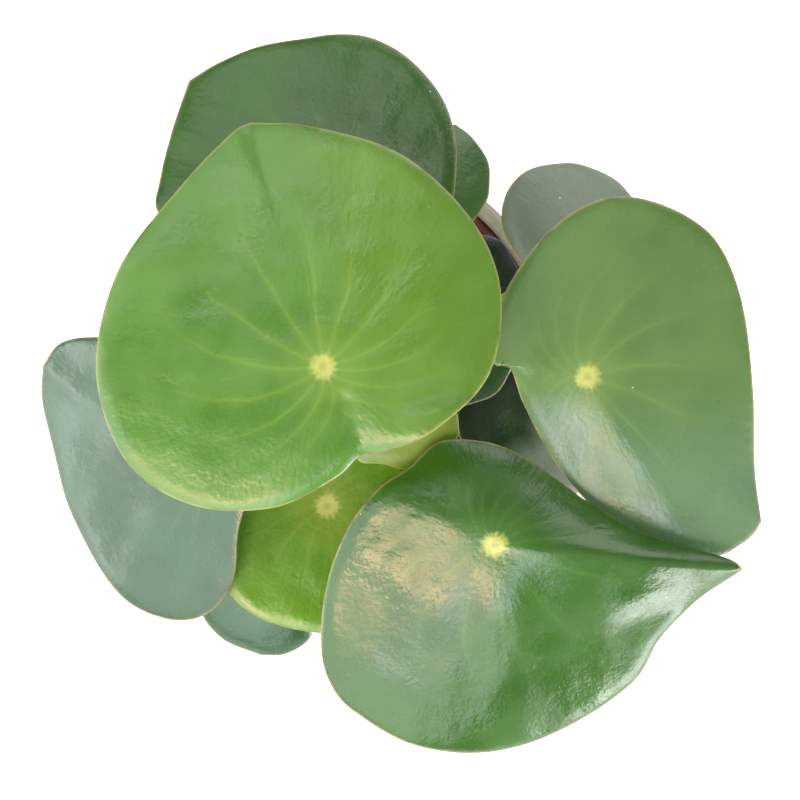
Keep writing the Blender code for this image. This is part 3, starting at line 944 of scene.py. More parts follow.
@dataclass
class Soil:
    """Potting soil: a plug with a crumbly top, a hole for the stem, loose crumbs and perlite.

    Level is the height at the pot's wall, and taper gives the radii of the plug's middle, foot and
    underside as shares of its top's.
    """

    level: float
    stem_radius: float
    stem_gap: float = 0.2
    relief: float = 1.2
    relief_size: float = 13.0
    mound: float = 3.0
    mound_radius: float = 24.0
    well_depth: float = 12.0
    shoulder: float = 4.0
    taper: tuple[float, float, float] = (0.86, 0.72, 0.4)
    around: int = 144
    rings: int = 60
    crumb_count: int = 900
    grit_count: int = 60
    seed: int = 11

    def height(self, x: np.ndarray, y: np.ndarray) -> np.ndarray:
        """Height of the top: a mound round the stem plus seeded lumps of about 13 mm and finer."""
        mound = self.mound * np.exp(-(np.hypot(x, y) / self.mound_radius) ** 2)
        return self.level + mound + self.relief * smooth_lumps(x, y, self.relief_size, self.seed)

    def build(self) -> None:
        """Build the plug, the crumbs and the perlite."""
        low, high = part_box("soil")
        outer, bottom = high.x / MM, low.z / MM
        hole = self.stem_radius + self.stem_gap
        radii = np.linspace(hole, outer, self.rings)
        top = turned_rings(np.stack([radii, np.full_like(radii, self.level)], axis=-1), self.around)
        top[..., 2] = self.height(top[..., 0], top[..., 1])
        well_floor = self.level - self.well_depth
        well = [[hole * 0.5, well_floor], [hole, well_floor], [hole, self.level - self.well_depth / 2]]
        middle, foot, under = (outer * share for share in self.taper)
        side = [[outer, self.level - self.shoulder], [middle, (self.level + bottom) / 2],
                [foot, bottom], [under, bottom]]
        rings = np.concatenate([turned_rings(np.array(well), self.around), top,
                                turned_rings(np.array(side), self.around)])
        plug = closed_shell("soil_plug", rings, (0, 0, well_floor), (0, 0, bottom), {})
        skin = SoilFinish().make()
        finish_piece(plug, skin, "potting_soil", "soil")
        loose = self.scatter("soil_crumbs", self.crumb_count, (0.5, 1.5), (hole + 0.8, outer - 1.4), 1)
        finish_piece(loose, skin, "potting_soil")
        grit = self.scatter("soil_perlite", self.grit_count, (0.6, 1.5), (hole + 1.5, outer - 1.6), 2)
        finish_piece(grit, GritFinish().make(), "potting_soil")

    def scatter(self, name: str, count: int, sizes: tuple[float, float], ring: tuple[float, float],
                step: int) -> bpy.types.Object:
        """Lay seeded lumps on the top, spread evenly over a ring, small ones more often than large.

        Args:
            name: the piece's name.
            count: number of lumps.
            sizes: smallest and largest radius in mm.
            ring: inner and outer radius of the ring in mm.
            step: added to the seed.

        Returns:
            The piece.
        """
        draw = np.random.default_rng(self.seed + step)
        radius = np.sqrt(draw.uniform(ring[0] ** 2, ring[1] ** 2, count))
        turn = draw.uniform(0, math.tau, count)
        size = sizes[0] + (sizes[1] - sizes[0]) * draw.uniform(0, 1, count) ** 2.2
        x, y = radius * np.cos(turn), radius * np.sin(turn)
        z = self.height(x, y) + size * 0.25
        return crumbs(name, np.stack([x, y, z], axis=-1), size, self.seed + step + 10)


@dataclass(frozen=True)
class Fold:
    """A ridge or valley in a blade, between two points given as offsets from the umbo in mm.

    Height is how far it stands up, negative for a valley, and width is how fast it falls off.
    """

    start: tuple[float, float]
    end: tuple[float, float]
    width: float
    height: float

    def lift(self, x: np.ndarray, y: np.ndarray) -> np.ndarray:
        """Height times a bell of the distance to the line, easing in over its first third.

        Args:
            x: offsets from the umbo in mm.
            y: offsets from the umbo in mm.

        Returns:
            How far each point is raised in mm.
        """
        start, end = np.array(self.start), np.array(self.end)
        line = end - start
        along = ((x - start[0]) * line[0] + (y - start[1]) * line[1]) / (line @ line)
        held = np.clip(along, 0, 1)
        away = np.hypot(x - start[0] - held * line[0], y - start[1] - held * line[1])
        ease = np.clip(along * 3, 0, 1)
        return self.height * np.exp(-(away / self.width) ** 2) * ease * ease * (3 - 2 * ease)


@dataclass(frozen=True)
class LeafForm:
    """One leaf as the frame holds it.

    The rim starts at the tip and goes round it as (bearing, reach from the umbo, rise above it). The
    stalk leaves the stem at stem_height, toward stem_bearing. Lean is how steeply the middle falls,
    in degrees, and toward which bearing, where it isn't the rim's own slope. Cup says how late the
    blade bends from that slope to its rim.
    """

    name: str
    age: LeafAge
    umbo: tuple[float, float, float]
    notch: float
    stem_height: float
    stem_bearing: float
    stalk_radius: float
    rim: tuple[tuple[float, float, float], ...]
    folds: tuple[Fold, ...] = ()
    lean: tuple[float, float] | None = None
    cup: float = 2.1


def hanging_rim(heading: float, length: float, pitch: float,
                droop: float) -> tuple[tuple[float, float, float], ...]:
    """Rim of an ordinary leaf that hangs toward its tip.

    The reach is the length times 0.73 + 0.26 cos a - 0.05 cos 2a + 0.04 cos 3a at the angle a from the
    tip, and the rim falls with the pitch and with the droop times the square of that share.

    Args:
        heading: bearing of the tip.
        length: reach to the tip in mm.
        pitch: slope toward the tip in degrees.
        droop: extra fall of the rim in mm.

    Returns:
        The rim's stations.
    """
    turns = np.array([0, 35, 75, 115, 150, 180, 210, 245, 285, 325], float)
    angle = np.radians(turns)
    share = 0.73 + 0.26 * np.cos(angle) - 0.05 * np.cos(2 * angle) + 0.04 * np.cos(3 * angle)
    rise = -length * share * np.cos(angle) * math.tan(math.radians(pitch)) - droop * share ** 2
    return tuple(zip((heading + turns).tolist(), (length * share).tolist(), rise.tolist()))


# Each row: name, age, umbo, bearing of the notch, height and bearing on the stem, stalk's radius, rim.
LEAVES: tuple[LeafForm, ...] = (
    LeafForm("leaf_01", LeafAge.BRIGHT, (-2, -2.5, 238), 293, 160, 230, 2.4, (
        (107, 65, -11), (93, 60.5, -6), (70, 56.5, -3), (45, 52, -1), (23, 48, -1), (357, 41, 2),
        (328, 31, 3.7), (306, 26, 0.9), (293, 24, -0.6), (276, 28, -1), (250, 37.5, -2), (226, 48, -4),
        (205, 55, -4.5), (181, 57, -4), (155, 57, -5), (129, 58, -7), (112, 63.5, -9)),
        (Fold((3, -5), (9, -18), 4.0, -0.8), Fold((28, -7), (31, -20), 8.0, 1.8),
         Fold((-36, -34), (6, -40), 6.0, -0.25)), None, 3.0),
    LeafForm("leaf_02", LeafAge.DEEP, (42, -49, 212), 136, 146, 310, 2.4, (
        (353.5, 68, -14), (355.3, 65.4, -13.6), (357, 59, -13), (359, 50, -12.5), (4, 39.5, -12),
        (22, 28, -10.5), (53, 23.5, -8), (74, 24.5, -6.5), (95, 27, -5), (118, 30.5, -4), (138, 30, -4),
        (154, 33.5, -5), (175, 39, -8), (196, 46.5, -13), (213, 55, -18), (224, 59.5, -21),
        (234, 60.5, -23.5), (249, 61, -26), (265, 60, -27), (281, 58, -27), (299, 56, -25.5),
        (316, 55.5, -22.5), (330, 53.5, -19), (344, 58.5, -16), (351.5, 65.6, -14.6)),
        (Fold((32, -3), (66, -7), 5.0, 1.1), Fold((30, -24), (56, -17), 4.5, -1.0),
         Fold((3, -2), (6, -48), 7.0, 0.9), Fold((-3, 1), (-29, 12), 6.0, 0.8),
         Fold((2, 22), (27, 8), 3.0, -0.9)), (16, 240), 1.7),
    LeafForm("leaf_03", LeafAge.MID, (66.8, -4.8, 208), 173, 132, 357, 2.3, (
        (321, 62.3, -12.5), (332, 53, -13), (356, 46, -11), (26, 47, -8), (48, 50.5, -4),
        (69, 49.5, 0), (87, 46, 6), (107, 38.5, 10), (132, 31.5, 11), (157, 27.5, 11), (172, 25, 9),
        (174, 20.5, 6), (205, 18, -3), (253, 24.5, -8.5), (278, 37.5, -12), (295, 52, -13.5),
        (307, 60.6, -13.5), (313, 62.3, -13), (317.5, 62.9, -12.5)),
        (Fold((6, -10), (27, -44), 8.0, 0.5),), (14, 280), 1.4),
    LeafForm("leaf_04", LeafAge.BLUE, (-40.5, -30.5, 192), 354, 142, 217, 2.2, (
        (146, 52.5, -20), (137, 52, -16), (126, 45.5, -8), (97, 35, 6), (61, 28.5, 11), (29, 24, 11),
        (354, 18, 8), (311, 20.5, 4), (291, 32, -2), (275, 40, -8), (258, 42.5, -14), (236, 41, -18),
        (200, 38, -21), (173, 41.5, -23), (156, 49, -24)),
        (Fold((-10, 8), (-42, 28), 6.0, 0.8), Fold((-4, -4), (-16, -30), 7.0, 0.7))),
    LeafForm("leaf_05", LeafAge.DEEP, (-2, 44, 198), 272, 148, 93, 2.2, (
        (139, 53, -20), (129, 50.5, -18), (115, 48, -16), (99, 46, -14), (87, 46.5, -13),
        (75, 46.5, -12), (59, 44, -8), (39, 40.5, -4), (16, 35.5, 1), (345, 31.5, 5), (312, 23, 6),
        (272, 16, 3), (225, 25.5, 5), (203, 37.5, 2), (185, 46.5, -4), (174, 47, -8), (155, 48.5, -15))),
    LeafForm("leaf_06", LeafAge.DEEP, (27.5, 52, 168), 217, 132, 62, 1.6, (
        (71, 18, -8), (52, 17, -8), (24, 16.5, -8), (359, 15.5, -6), (337, 15.5, -4), (302, 15.5, 0),
        (263, 14, 3), (217, 12.5, 3), (158, 11.5, 0), (107, 15, -5))),
    LeafForm("leaf_07", LeafAge.GREY, (69, 37, 170), 213, 141, 14, 1.8, (
        (26, 19.5, -10), (55, 20, -14), (85, 20.5, -12), (105, 21.5, -10), (129, 23.5, -6),
        (149, 24, -3), (169, 23, 0), (189, 21, 3), (213, 18.5, 6), (254, 16, 7), (297, 15.5, 4),
        (348, 16, -4))),
    LeafForm("leaf_08", LeafAge.YOUNG, (-3, -40.3, 184), 90, 152, 266, 1.9, (
        (284, 38, -1.5), (304, 29, -0.5), (343, 22.5, 0), (24, 25.5, 1), (49, 24.5, 2),
        (72, 16.5, 2), (116, 16, 1), (160, 21, 0.5), (193, 30, 0), (212, 35.5, 0), (232, 36.5, -0.5),
        (252, 35.5, -1)), (), (2, 300)),
    LeafForm("leaf_09", LeafAge.TENDER, (20, -16, 206), 117, 163, 325, 1.5, (
        (343, 13.5, -2), (12, 12, -1), (60, 10.5, 1), (117, 10.5, 1.5), (174, 12, 0), (216, 17.5, -2.5),
        (238, 14, -2.5), (272, 13.5, -2.5), (306, 14, -2.5))),
    LeafForm("leaf_10", LeafAge.BLUE, (34.5, -6.5, 186), 195, 157, 343, 1.3, (
        (18, 14.5, -3), (33, 10.5, -1), (72, 7, 0), (141, 6, 1), (195, 6.5, 1), (251, 6, 0),
        (315, 6.5, -1), (349, 10, -2))),
    LeafForm("leaf_11", LeafAge.PAINTED_SHADE_SHEEN, (51, -18.5, 152), 149, 124, 336, 1.8, (
        (314, 28.5, -12), (356, 19.5, -2), (50, 15.5, 6), (102, 16.5, 8), (149, 17.5, 6),
        (190, 16.5, 2), (244, 16.5, -4), (292, 21, -8))),
    LeafForm("leaf_12", LeafAge.BLUE, (-23, -69, 156), 76, 122, 251, 1.7, (
        (266, 18, -11), (287, 18.5, -10), (312, 18.5, -8), (331, 16.5, -5), (23, 14, 1),
        (76, 12, 5), (142, 13.5, 1), (179, 18, -4), (200, 19, -7), (229, 18, -10))),
    LeafForm("leaf_13", LeafAge.SHADED, (38.5, 24, 130), 199, 112, 48, 1.4, (
        (37, 16, -4), (57, 17, -3), (79, 16, -2), (108, 14.5, 0), (145, 13, 2), (199, 14.5, 3),
        (236, 16.5, 2), (281, 15.5, 0), (324, 15, -3), (6, 16, -4))),
    LeafForm("leaf_14", LeafAge.DEEP, (-38, 16, 158), 337, 130, 157, 1.7, hanging_rim(157, 24, 18, 4)),
    LeafForm("leaf_15", LeafAge.MID, (82, 12, 146), 188, 118, 2, 1.7, hanging_rim(8, 26, 22, 4)),
    LeafForm("leaf_16", LeafAge.MID, (-10, 52, 150), 281, 120, 101, 1.7, hanging_rim(101, 26, 22, 4)),
    LeafForm("leaf_17", LeafAge.DEEP, (44, -66, 144), 124, 111, 304, 1.7, hanging_rim(304, 26, 20, 4)),
    LeafForm("leaf_18", LeafAge.DEEP, (-47, -36, 146), 37, 117, 217, 1.7, hanging_rim(217, 26, 20, 4)),
)


# Each row: age, green, second green, veins and their strength, underside, roughness, glow, and flush, which
# is painted light.
FINISHES: tuple[BladeFinish, ...] = (
    # The bright blade's flush is painted light: a brighter yellow-green over its right side, where it shows
    # less sheen.
    BladeFinish(LeafAge.BRIGHT, "4C7E24", "588A2C", "84A83E", 0.4, "7F9450", 0.3, 0.2,
                PaintedSideLight("729408", -90, 0.3)),
    BladeFinish(LeafAge.DEEP, "2E5A12", "366416", "4E7E30", 0.45, "6A8450", 0.25, 0.15),
    # Painted shade: near-black greens with a dark umbo spot and a dark margin, for a blade deep in shade.
    BladeFinish(LeafAge.SHADED, "081606", "0C1E0A", "204018", 0.2, "4A6038", 0.3, 0.05,
                None, "1E3A12", "1E3A12", "2A3A1E", "3A2A1E"),
    # Painted shade and sheen: near-black greens, a dark umbo spot, and a grey flush toward the tip that
    # stands in for sheen.
    BladeFinish(LeafAge.PAINTED_SHADE_SHEEN, "081606", "0C1E0A", "204018", 0.2, "4A6038", 0.3, 0.05,
                PaintedSideLight("8A9480", 0, 0.75), "1E3A12", "1E3A12"),
    # The mid blades' flush is a painted sheen: grey-blue rising across one side, the lower-left facet of
    # leaf_03.
    BladeFinish(LeafAge.MID, "547836", "5C803C", "789A4C", 0.35, "748A58", 0.3, 0.15,
                PaintedSideLight("6C8C78", -60, 0.45)),
    BladeFinish(LeafAge.BLUE, "264E28", "2C5832", "42704A", 0.25, "6E8468", 0.27, 0.15),
    # The grey blade's grey-green is partly painted sheen over its own green.
    BladeFinish(LeafAge.GREY, "64765E", "6E8066", "7C8C70", 0.25, "6E8468", 0.3, 0.1),
    BladeFinish(LeafAge.TENDER, "608200", "6E9000", "8CA41C", 0.3, "808E34", 0.42, 0.3),
    BladeFinish(LeafAge.YOUNG, "588C06", "649608", "8A9E30", 0.4, "808E34", 0.3, 0.3),
)


@dataclass
class Stem:
    """Upright stem: a slow taper with a swelling and a corky ring at each leaf scar, and a bud on top."""

    soil_line: float
    foot_radius: float = 7.4
    top_radius: float = 5.4
    top: float = 172.0
    node_spacing: float = 9.0
    swell: float = 0.45
    bud_height: float = 5.0
    coarse_ridge: float = 0.018
    fine_ridge: float = 0.01
    around: int = 64
    rings: int = 150

    def foot(self) -> float:
        """Height of the buried end in mm."""
        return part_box("stem")[0].z / MM

    def beat(self, z: np.ndarray) -> np.ndarray:
        """1 at each leaf scar and 0 halfway between two, as a cosine of the height."""
        return 0.5 + 0.5 * np.cos(math.tau * (self.top - z) / self.node_spacing)

    def radius(self, z: np.ndarray) -> np.ndarray:
        """Radius at a height: a straight taper plus a cosine swelling above the soil line.

        Args:
            z: heights in mm.

        Returns:
            Radii in mm.
        """
        share = (z - self.foot()) / (self.top - self.foot())
        ripple = self.swell * self.beat(z)
        return self.foot_radius + (self.top_radius - self.foot_radius) * share + ripple * (z > self.soil_line)

    def build(self) -> None:
        """Build the stem with a pointed bud, winding ridges, and a scar on one side of each swelling."""
        z = np.linspace(self.foot(), self.top, self.rings)
        cap = np.linspace(0, 1, 12)[1:-1]
        bud = np.stack([self.top_radius * np.sqrt(1 - cap ** 1.6) * (1 - 0.35 * cap),
                        self.top + self.bud_height * cap], axis=-1)
        rings = turned_rings(np.vstack([np.stack([self.radius(z), z], axis=-1), bud]), self.around)
        turn = np.arctan2(rings[..., 1], rings[..., 0])
        height = rings[..., 2]
        ridges = (1 + self.coarse_ridge * np.cos(3 * turn + height * 0.12)
                  + self.fine_ridge * np.cos(7 * turn - height * 0.3))
        rings[..., :2] *= ridges[..., None]
        side = 0.5 + 0.5 * np.cos(turn - (self.top - height) / self.node_spacing * GOLDEN_TURN)
        scar = np.clip(self.beat(height) ** 10 * side * 1.4, 0, 1) * (height > self.soil_line)
        piece = closed_shell("stem_skin", rings, (0, 0, self.foot()), (0, 0, self.top + self.bud_height),
                             {"scar": (0, scar, 0)})
        finish_piece(piece, StemFinish().make(), "stem_skin", "stem")


@dataclass
class Leaf:
    """A leaf: a fleshy peltate blade and its round stalk.

    A flare is the share by which the stalk widens and the length over which that fades. Root and sunk
    are how deep the stalk's ends reach into the stem's skin and the blade. A blade that reaches past
    large_reach gets the large mesh. At its umbo a blade counts as middle_edge away from its margin.
    """

    form: LeafForm
    thickness: float = 1.2
    margin_thickness: float = 0.8
    dimple_depth: float = 0.6
    dimple_radius: float = 6.0
    lump_height: float = 0.28
    lump_size: float = 22.0
    lump_ease: float = 12.0
    pillow: float = 0.1
    pillow_start: float = 5.0
    pillow_ease: float = 22.0
    soft_waves: int = 3
    roll: float = 0.6
    roll_width: float = 1.6
    boss: float = 1.0
    boss_radius: float = 4.5
    middle_edge: float = 30.0
    large_reach: float = 30.0
    large_mesh: tuple[int, int] = (240, 44)
    small_mesh: tuple[int, int] = (140, 26)
    stalk_around: int = 20
    stalk_rings: int = 48
    stalk_taper: float = 0.15
    stem_flare: tuple[float, float] = (0.45, 3.0)
    blade_flare: tuple[float, float] = (0.35, 2.2)
    furrow_depth: float = 0.05
    furrow_width: float = 0.5
    root: float = 2.2
    sunk: float = 0.6
    stub: float = 1.6
    gap: float = 0.4
    pull_out: float = 0.24
    pull_in: float = 0.38
    rise: float = math.radians(20)

    @property
    def seed(self) -> int:
        """Seed of this leaf's relief, from its number."""
        return int(self.form.name[-2:])

    def rim(self, around: int) -> np.ndarray:
        """Smooth rim as offsets from the umbo, at even steps along its length, starting at the tip.

        Each stretch between two stations is the cubic through them whose slopes follow their
        neighbours. At the tip the slopes follow the stretch itself, so that it stays a point.

        Args:
            around: number of points.

        Returns:
            Points in mm, shaped (around, 3).
        """
        stations = np.array(self.form.rim, float)
        if np.sin(np.diff(np.radians(stations[:, 0]))).sum() < 0:
            stations = np.vstack([stations[:1], stations[:0:-1]])
        angle = np.radians(stations[:, 0])
        marks = np.stack([np.cos(angle) * stations[:, 1], np.sin(angle) * stations[:, 1],
                          stations[:, 2]], axis=-1)
        marks = np.vstack([marks, marks[:1]])
        marks = np.vstack([2 * marks[0] - marks[1], marks, 2 * marks[-1] - marks[-2]])
        p0, p1, p2, p3 = (marks[i:len(marks) - 3 + i, None] for i in range(4))
        t = (np.arange(24) / 24)[None, :, None]
        curve = p1 + ((p2 - p0) * t + (2 * p0 - 5 * p1 + 4 * p2 - p3) * t ** 2
                      + (3 * p1 - p0 - 3 * p2 + p3) * t ** 3) / 2
        dense = np.vstack([curve.reshape(-1, 3), marks[-2:-1]])
        along = distances(dense)
        places = np.arange(around) / around * along[-1]
        return np.stack([np.interp(places, along, dense[:, i]) for i in range(3)], axis=-1)

    def slope(self, rim: np.ndarray) -> np.ndarray:
        """Slope at the umbo along X and Y: the form's lean, or the tilt that the rim has on average.

        Args:
            rim: rim offsets in mm.

        Returns:
            Rise per mm along X and Y.
        """
        if self.form.lean:
            fall, bearing = np.radians(self.form.lean)
            return -math.tan(fall) * np.array([math.cos(bearing), math.sin(bearing)])
        reach = np.hypot(rim[:, 0], rim[:, 1])
        return (rim[:, :2] * (2 * rim[:, 2] / reach ** 2)[:, None]).mean(axis=0)

    def axis(self, rim: np.ndarray) -> np.ndarray:
        """Unit vector that stands square on the blade at the umbo."""
        slope = self.slope(rim)
        return np.array([-slope[0], -slope[1], 1]) / math.sqrt(1 + slope @ slope)

    def soft_rim(self, rim: np.ndarray) -> np.ndarray:
        """Rim without its sharp features: the slowest waves of its Fourier series.

        Args:
            rim: rim offsets in mm.

        Returns:
            The smoothed offsets.
        """
        waves = np.fft.fft(rim, axis=0)
        waves[self.soft_waves + 1:-self.soft_waves] = 0
        return np.fft.ifft(waves, axis=0).real

    def turns(self, rim: np.ndarray) -> np.ndarray:
        """Angle of each rim point round the umbo, 0 at the tip and half a turn at the notch.

        Args:
            rim: rim offsets in mm.

        Returns:
            Angles in radians, positive anticlockwise.
        """
        bearing = np.arctan2(rim[:, 1], rim[:, 0])
        turn = np.mod(bearing - bearing[0], math.tau)
        notch = (math.radians(self.form.notch) - bearing[0]) % math.tau
        left = turn / notch * math.pi
        right = (turn - math.tau) / (math.tau - notch) * math.pi
        return np.where(turn <= notch, left, right)

    def upper_side(self, rim: np.ndarray, share: np.ndarray) -> np.ndarray:
        """Upper surface: a tilted plane that cups toward the rim, with pillows between the veins.

        Near the umbo the rings follow the soft rim, and the tip and the notch come in toward the
        margin with share cubed. The height is the plane, plus what the soft rim departs from it times
        share to a power, plus what the rim departs from the soft one times share to the fifth, less
        the umbo's dimple. Pillows are a cosine of the angle at which a vein through the point leaves
        the umbo, and lumps are low seeded waves. The margin rolls down as a bell of the distance.

        Args:
            rim: rim offsets in mm, shaped (m, 3).
            share: shares of the way to the rim, shaped (n,).

        Returns:
            Points in mm, shaped (n, m, 3).
        """
        s = share[:, None]
        soft = self.soft_rim(rim)
        slope = self.slope(rim)
        plan = soft[None, :, :2] * s[..., None] + (rim - soft)[None, :, :2] * s[..., None] ** 3
        bend = soft[:, 2] - soft[:, :2] @ slope
        rest = rim[:, 2] - rim[:, :2] @ slope - bend
        lift = plan @ slope + bend[None] * s ** self.form.cup + rest[None] * s ** 5
        x, y = plan[..., 0], plan[..., 1]
        reach = np.hypot(x, y)
        dimple = self.dimple_depth * (1 - np.exp(-(reach / self.dimple_radius) ** 2)) * (1 - s)
        inner = np.clip((reach - self.pillow_start) / self.pillow_ease, 0, 1) ** 2 * (1 - s ** 6)
        vein_turn = self.turns(rim)[None] / (1 - VEIN_CURL * s)
        beat = np.cos((vein_turn - VEIN_PHASE) / VEIN_SPACING * math.tau)
        pillows = -self.pillow * beat * inner * np.clip(1.3 - s, 0, 1)
        lumps = self.lump_height * smooth_lumps(x, y, self.lump_size, self.seed, 2)
        lumps *= np.clip(reach / self.lump_ease, 0, 1)
        folds = sum((fold.lift(x, y) for fold in self.form.folds), np.zeros_like(x))
        inward = (1 - s) * np.hypot(rim[:, 0], rim[:, 1])
        roll = self.roll * np.exp(-(inward / self.roll_width) ** 1.5)
        points = np.stack([x, y, lift + dimple + pillows + lumps + folds - roll], axis=-1)
        return points + np.array(self.form.umbo, float)

    def blade(self, material: bpy.types.Material) -> None:
        """Build the blade: upper side, a bead round the margin, and an underside offset along the normals.

        The blade thins toward its margin with share to the fourth, and a boss stands over the stalk.

        Args:
            material: the blade's finish.
        """
        large = max(station[1] for station in self.form.rim) > self.large_reach
        around, count = self.large_mesh if large else self.small_mesh
        rim = self.rim(around)
        reach = np.hypot(rim[:, 0], rim[:, 1])
        share = np.linspace(0, 1, count + 1)[1:] ** 0.9
        top = self.upper_side(rim, share)
        side = np.roll(top, -1, axis=1) - np.roll(top, 1, axis=1)
        normal = np.cross(np.gradient(top, axis=0), side)
        normal /= np.linalg.norm(normal, axis=-1, keepdims=True)
        thick = self.margin_thickness + (self.thickness - self.margin_thickness) * (1 - share[:, None] ** 4)
        thick = thick + self.boss * np.exp(-(share[:, None] * reach / self.boss_radius) ** 2)
        bottom = top - normal * thick[..., None]
        middle = (top[-1] + bottom[-1]) / 2
        half = (top[-1] - bottom[-1]) / 2
        outward = np.cross(side[-1], normal[-1])
        outward /= np.linalg.norm(outward, axis=-1, keepdims=True)
        outward *= np.sign((outward[:, :2] * rim[:, :2]).sum(axis=1))[:, None]
        # The bead is three rings on a half circle from the top round to the bottom.
        swing = np.radians([45, 90, 135])[:, None, None]
        bead = middle + half * np.cos(swing) + outward * (self.margin_thickness / 2) * np.sin(swing)
        rings = np.concatenate([top, bead, bottom[::-1]])
        shares = np.concatenate([share, np.ones(3), share[::-1]])[:, None]
        turn = self.turns(rim)
        chart = np.stack([shares * np.cos(turn), shares * np.sin(turn)], axis=-1)
        on_top = np.repeat(np.concatenate([np.ones(count), [0.8, 0.5, 0.2], np.zeros(count)]), around)
        values = {"top": (1, on_top, 0), "umbo_mm": (0, shares * reach, 0),
                  "edge_mm": (self.middle_edge, (1 - shares) * reach, self.middle_edge)}
        centre = np.array(self.form.umbo, float)
        below = centre - self.axis(rim) * (self.thickness + self.boss)
        piece = closed_shell(self.form.name + "_blade_skin", rings, centre, below, values, chart)
        finish_piece(piece, material, self.form.age.slot(), self.form.name + "_blade")

    def stalk_path(self, stem: Stem) -> np.ndarray:
        """Path of the stalk: a short stub off the stem, a cubic bend, and a short stub to the blade.

        Args:
            stem: the stem that it grows from.

        Returns:
            Points in mm, shaped (n, 3).
        """
        normal = self.axis(self.rim(96))
        end = np.array(self.form.umbo, float) - normal * (self.thickness + self.gap)
        bearing = math.radians(self.form.stem_bearing)
        level = np.array([math.cos(bearing), math.sin(bearing), 0])
        away = level * math.cos(self.rise) + np.array([0, 0, math.sin(self.rise)])
        skin = float(stem.radius(np.array(self.form.stem_height)))
        start = level * (skin + 1) + np.array([0, 0, self.form.stem_height])
        length = np.linalg.norm(end - start)
        a, d = start + away * self.stub, end - normal * self.stub
        b, c = a + away * length * self.pull_out, d - normal * length * self.pull_in
        t = np.linspace(0, 1, self.stalk_rings - 4)[:, None]
        bend = a * (1 - t) ** 3 + b * 3 * t * (1 - t) ** 2 + c * 3 * t * t * (1 - t) + d * t ** 3
        return np.vstack([start - away * self.root, start - away * self.sunk, bend, end,
                          end + normal * self.sunk])

    def stalk(self, stem: Stem, material: bpy.types.Material) -> None:
        """Carry a circle with a shallow furrow on top along the path, flared at the stem and the blade.

        Args:
            stem: the stem that it grows from.
            material: the stalk's finish.
        """
        path = self.stalk_path(stem)
        along = distances(path)
        left = along[-1] - along
        radius = self.form.stalk_radius * (1 - self.stalk_taper * along / along[-1])
        radius = radius * (1 + self.stem_flare[0] * np.exp(-along / self.stem_flare[1])
                           + self.blade_flare[0] * np.exp(-left / self.blade_flare[1]))
        forward = np.gradient(path, axis=0)
        forward /= np.linalg.norm(forward, axis=1, keepdims=True)
        bearing = math.radians(self.form.stem_bearing)
        across = np.array([-math.sin(bearing), math.cos(bearing), 0])
        sideways = across - forward * (forward @ across)[:, None]
        sideways /= np.linalg.norm(sideways, axis=1, keepdims=True)
        upward = np.cross(forward, sideways)
        turn = full_turn(self.stalk_around)[:, None]
        circle = np.cos(turn) * sideways[:, None] + np.sin(turn) * upward[:, None]
        furrow = 1 - self.furrow_depth * np.exp(-((turn - math.pi / 2) / self.furrow_width) ** 2)
        rings = path[:, None] + circle * furrow * radius[:, None, None]
        values = {"along_mm": (0, np.repeat(along, self.stalk_around), along[-1])}
        piece = closed_shell(self.form.name + "_petiole_skin", rings, path[0], path[-1], values)
        finish_piece(piece, material, "petiole_skin", self.form.name + "_petiole")


def toward(bearing: float, elevation: float) -> tuple[float, float, float]:
    """Unit vector from a bearing and a height above the horizon in degrees."""
    a, e = math.radians(bearing), math.radians(elevation)
    return math.cos(a) * math.cos(e), math.sin(a) * math.cos(e), math.sin(e)


@dataclass(frozen=True)
class Lobe:
    """Soft bright patch of the room: full radiance within inner degrees of its middle, none past outer."""

    bearing: float
    elevation: float
    inner: float
    outer: float
    radiance: float


@dataclass(frozen=True)
class SoftLight:
    """Oblong soft light that faces the plant.

    Bearing and elevation say where its middle stands, width and height how large it looks from the
    plant in degrees. Radiance 1 is paper white under even light, and the colour is sRGB hex.
    """

    name: str
    bearing: float
    elevation: float
    width: float
    height: float
    radiance: float
    colour: str

    def place(self, distance: float, aim: Vector) -> None:
        """Set up the light.

        Args:
            distance: how far it stands off in metres.
            aim: the point that it faces, in metres.
        """
        data = bpy.data.lights.new(self.name, "AREA")
        data.shape = "RECTANGLE"
        data.size = 2 * distance * math.tan(math.radians(self.width / 2))
        data.size_y = 2 * distance * math.tan(math.radians(self.height / 2))
        data.energy = self.radiance * 4 * data.size * data.size_y
        data.color = linear(self.colour)[:3]
        spot = Vector(toward(self.bearing, self.elevation))
        light = add_object(self.name, data)
        light.location = aim + spot * distance
        light.rotation_mode = "QUATERNION"
        light.rotation_quaternion = spot.to_track_quat("Z", "Y")


def camera_ray(p: Pattern) -> Number:
    """1 where a ray comes straight from a camera, 0 where it lights or mirrors."""
    return Number(add_node(p.tree, "LightPath").outputs["Is Camera Ray"])


@dataclass(frozen=True)
class StudioFinish(Finish):
    """Plain white floor that looks brighter than the light it gives, as an overexposed one does."""

    title: ClassVar[str] = "studio_white"
    white: str = "F4F4F4"
    glow: float = 0.3
    seen: float = 0.75

    def paint(self, p: Pattern) -> dict[str, Any]:
        """Matt white with an even glow, stronger where a ray comes straight from a camera.

        Args:
            p: the pattern maker.

        Returns:
            The shader's inputs.
        """
        return {"Base Color": self.white, "Roughness": 0.8, "Emission Color": "FFFFFF",
                "Emission Strength": p.ramp(camera_ray(p), 0, 1, self.glow, self.seen)}


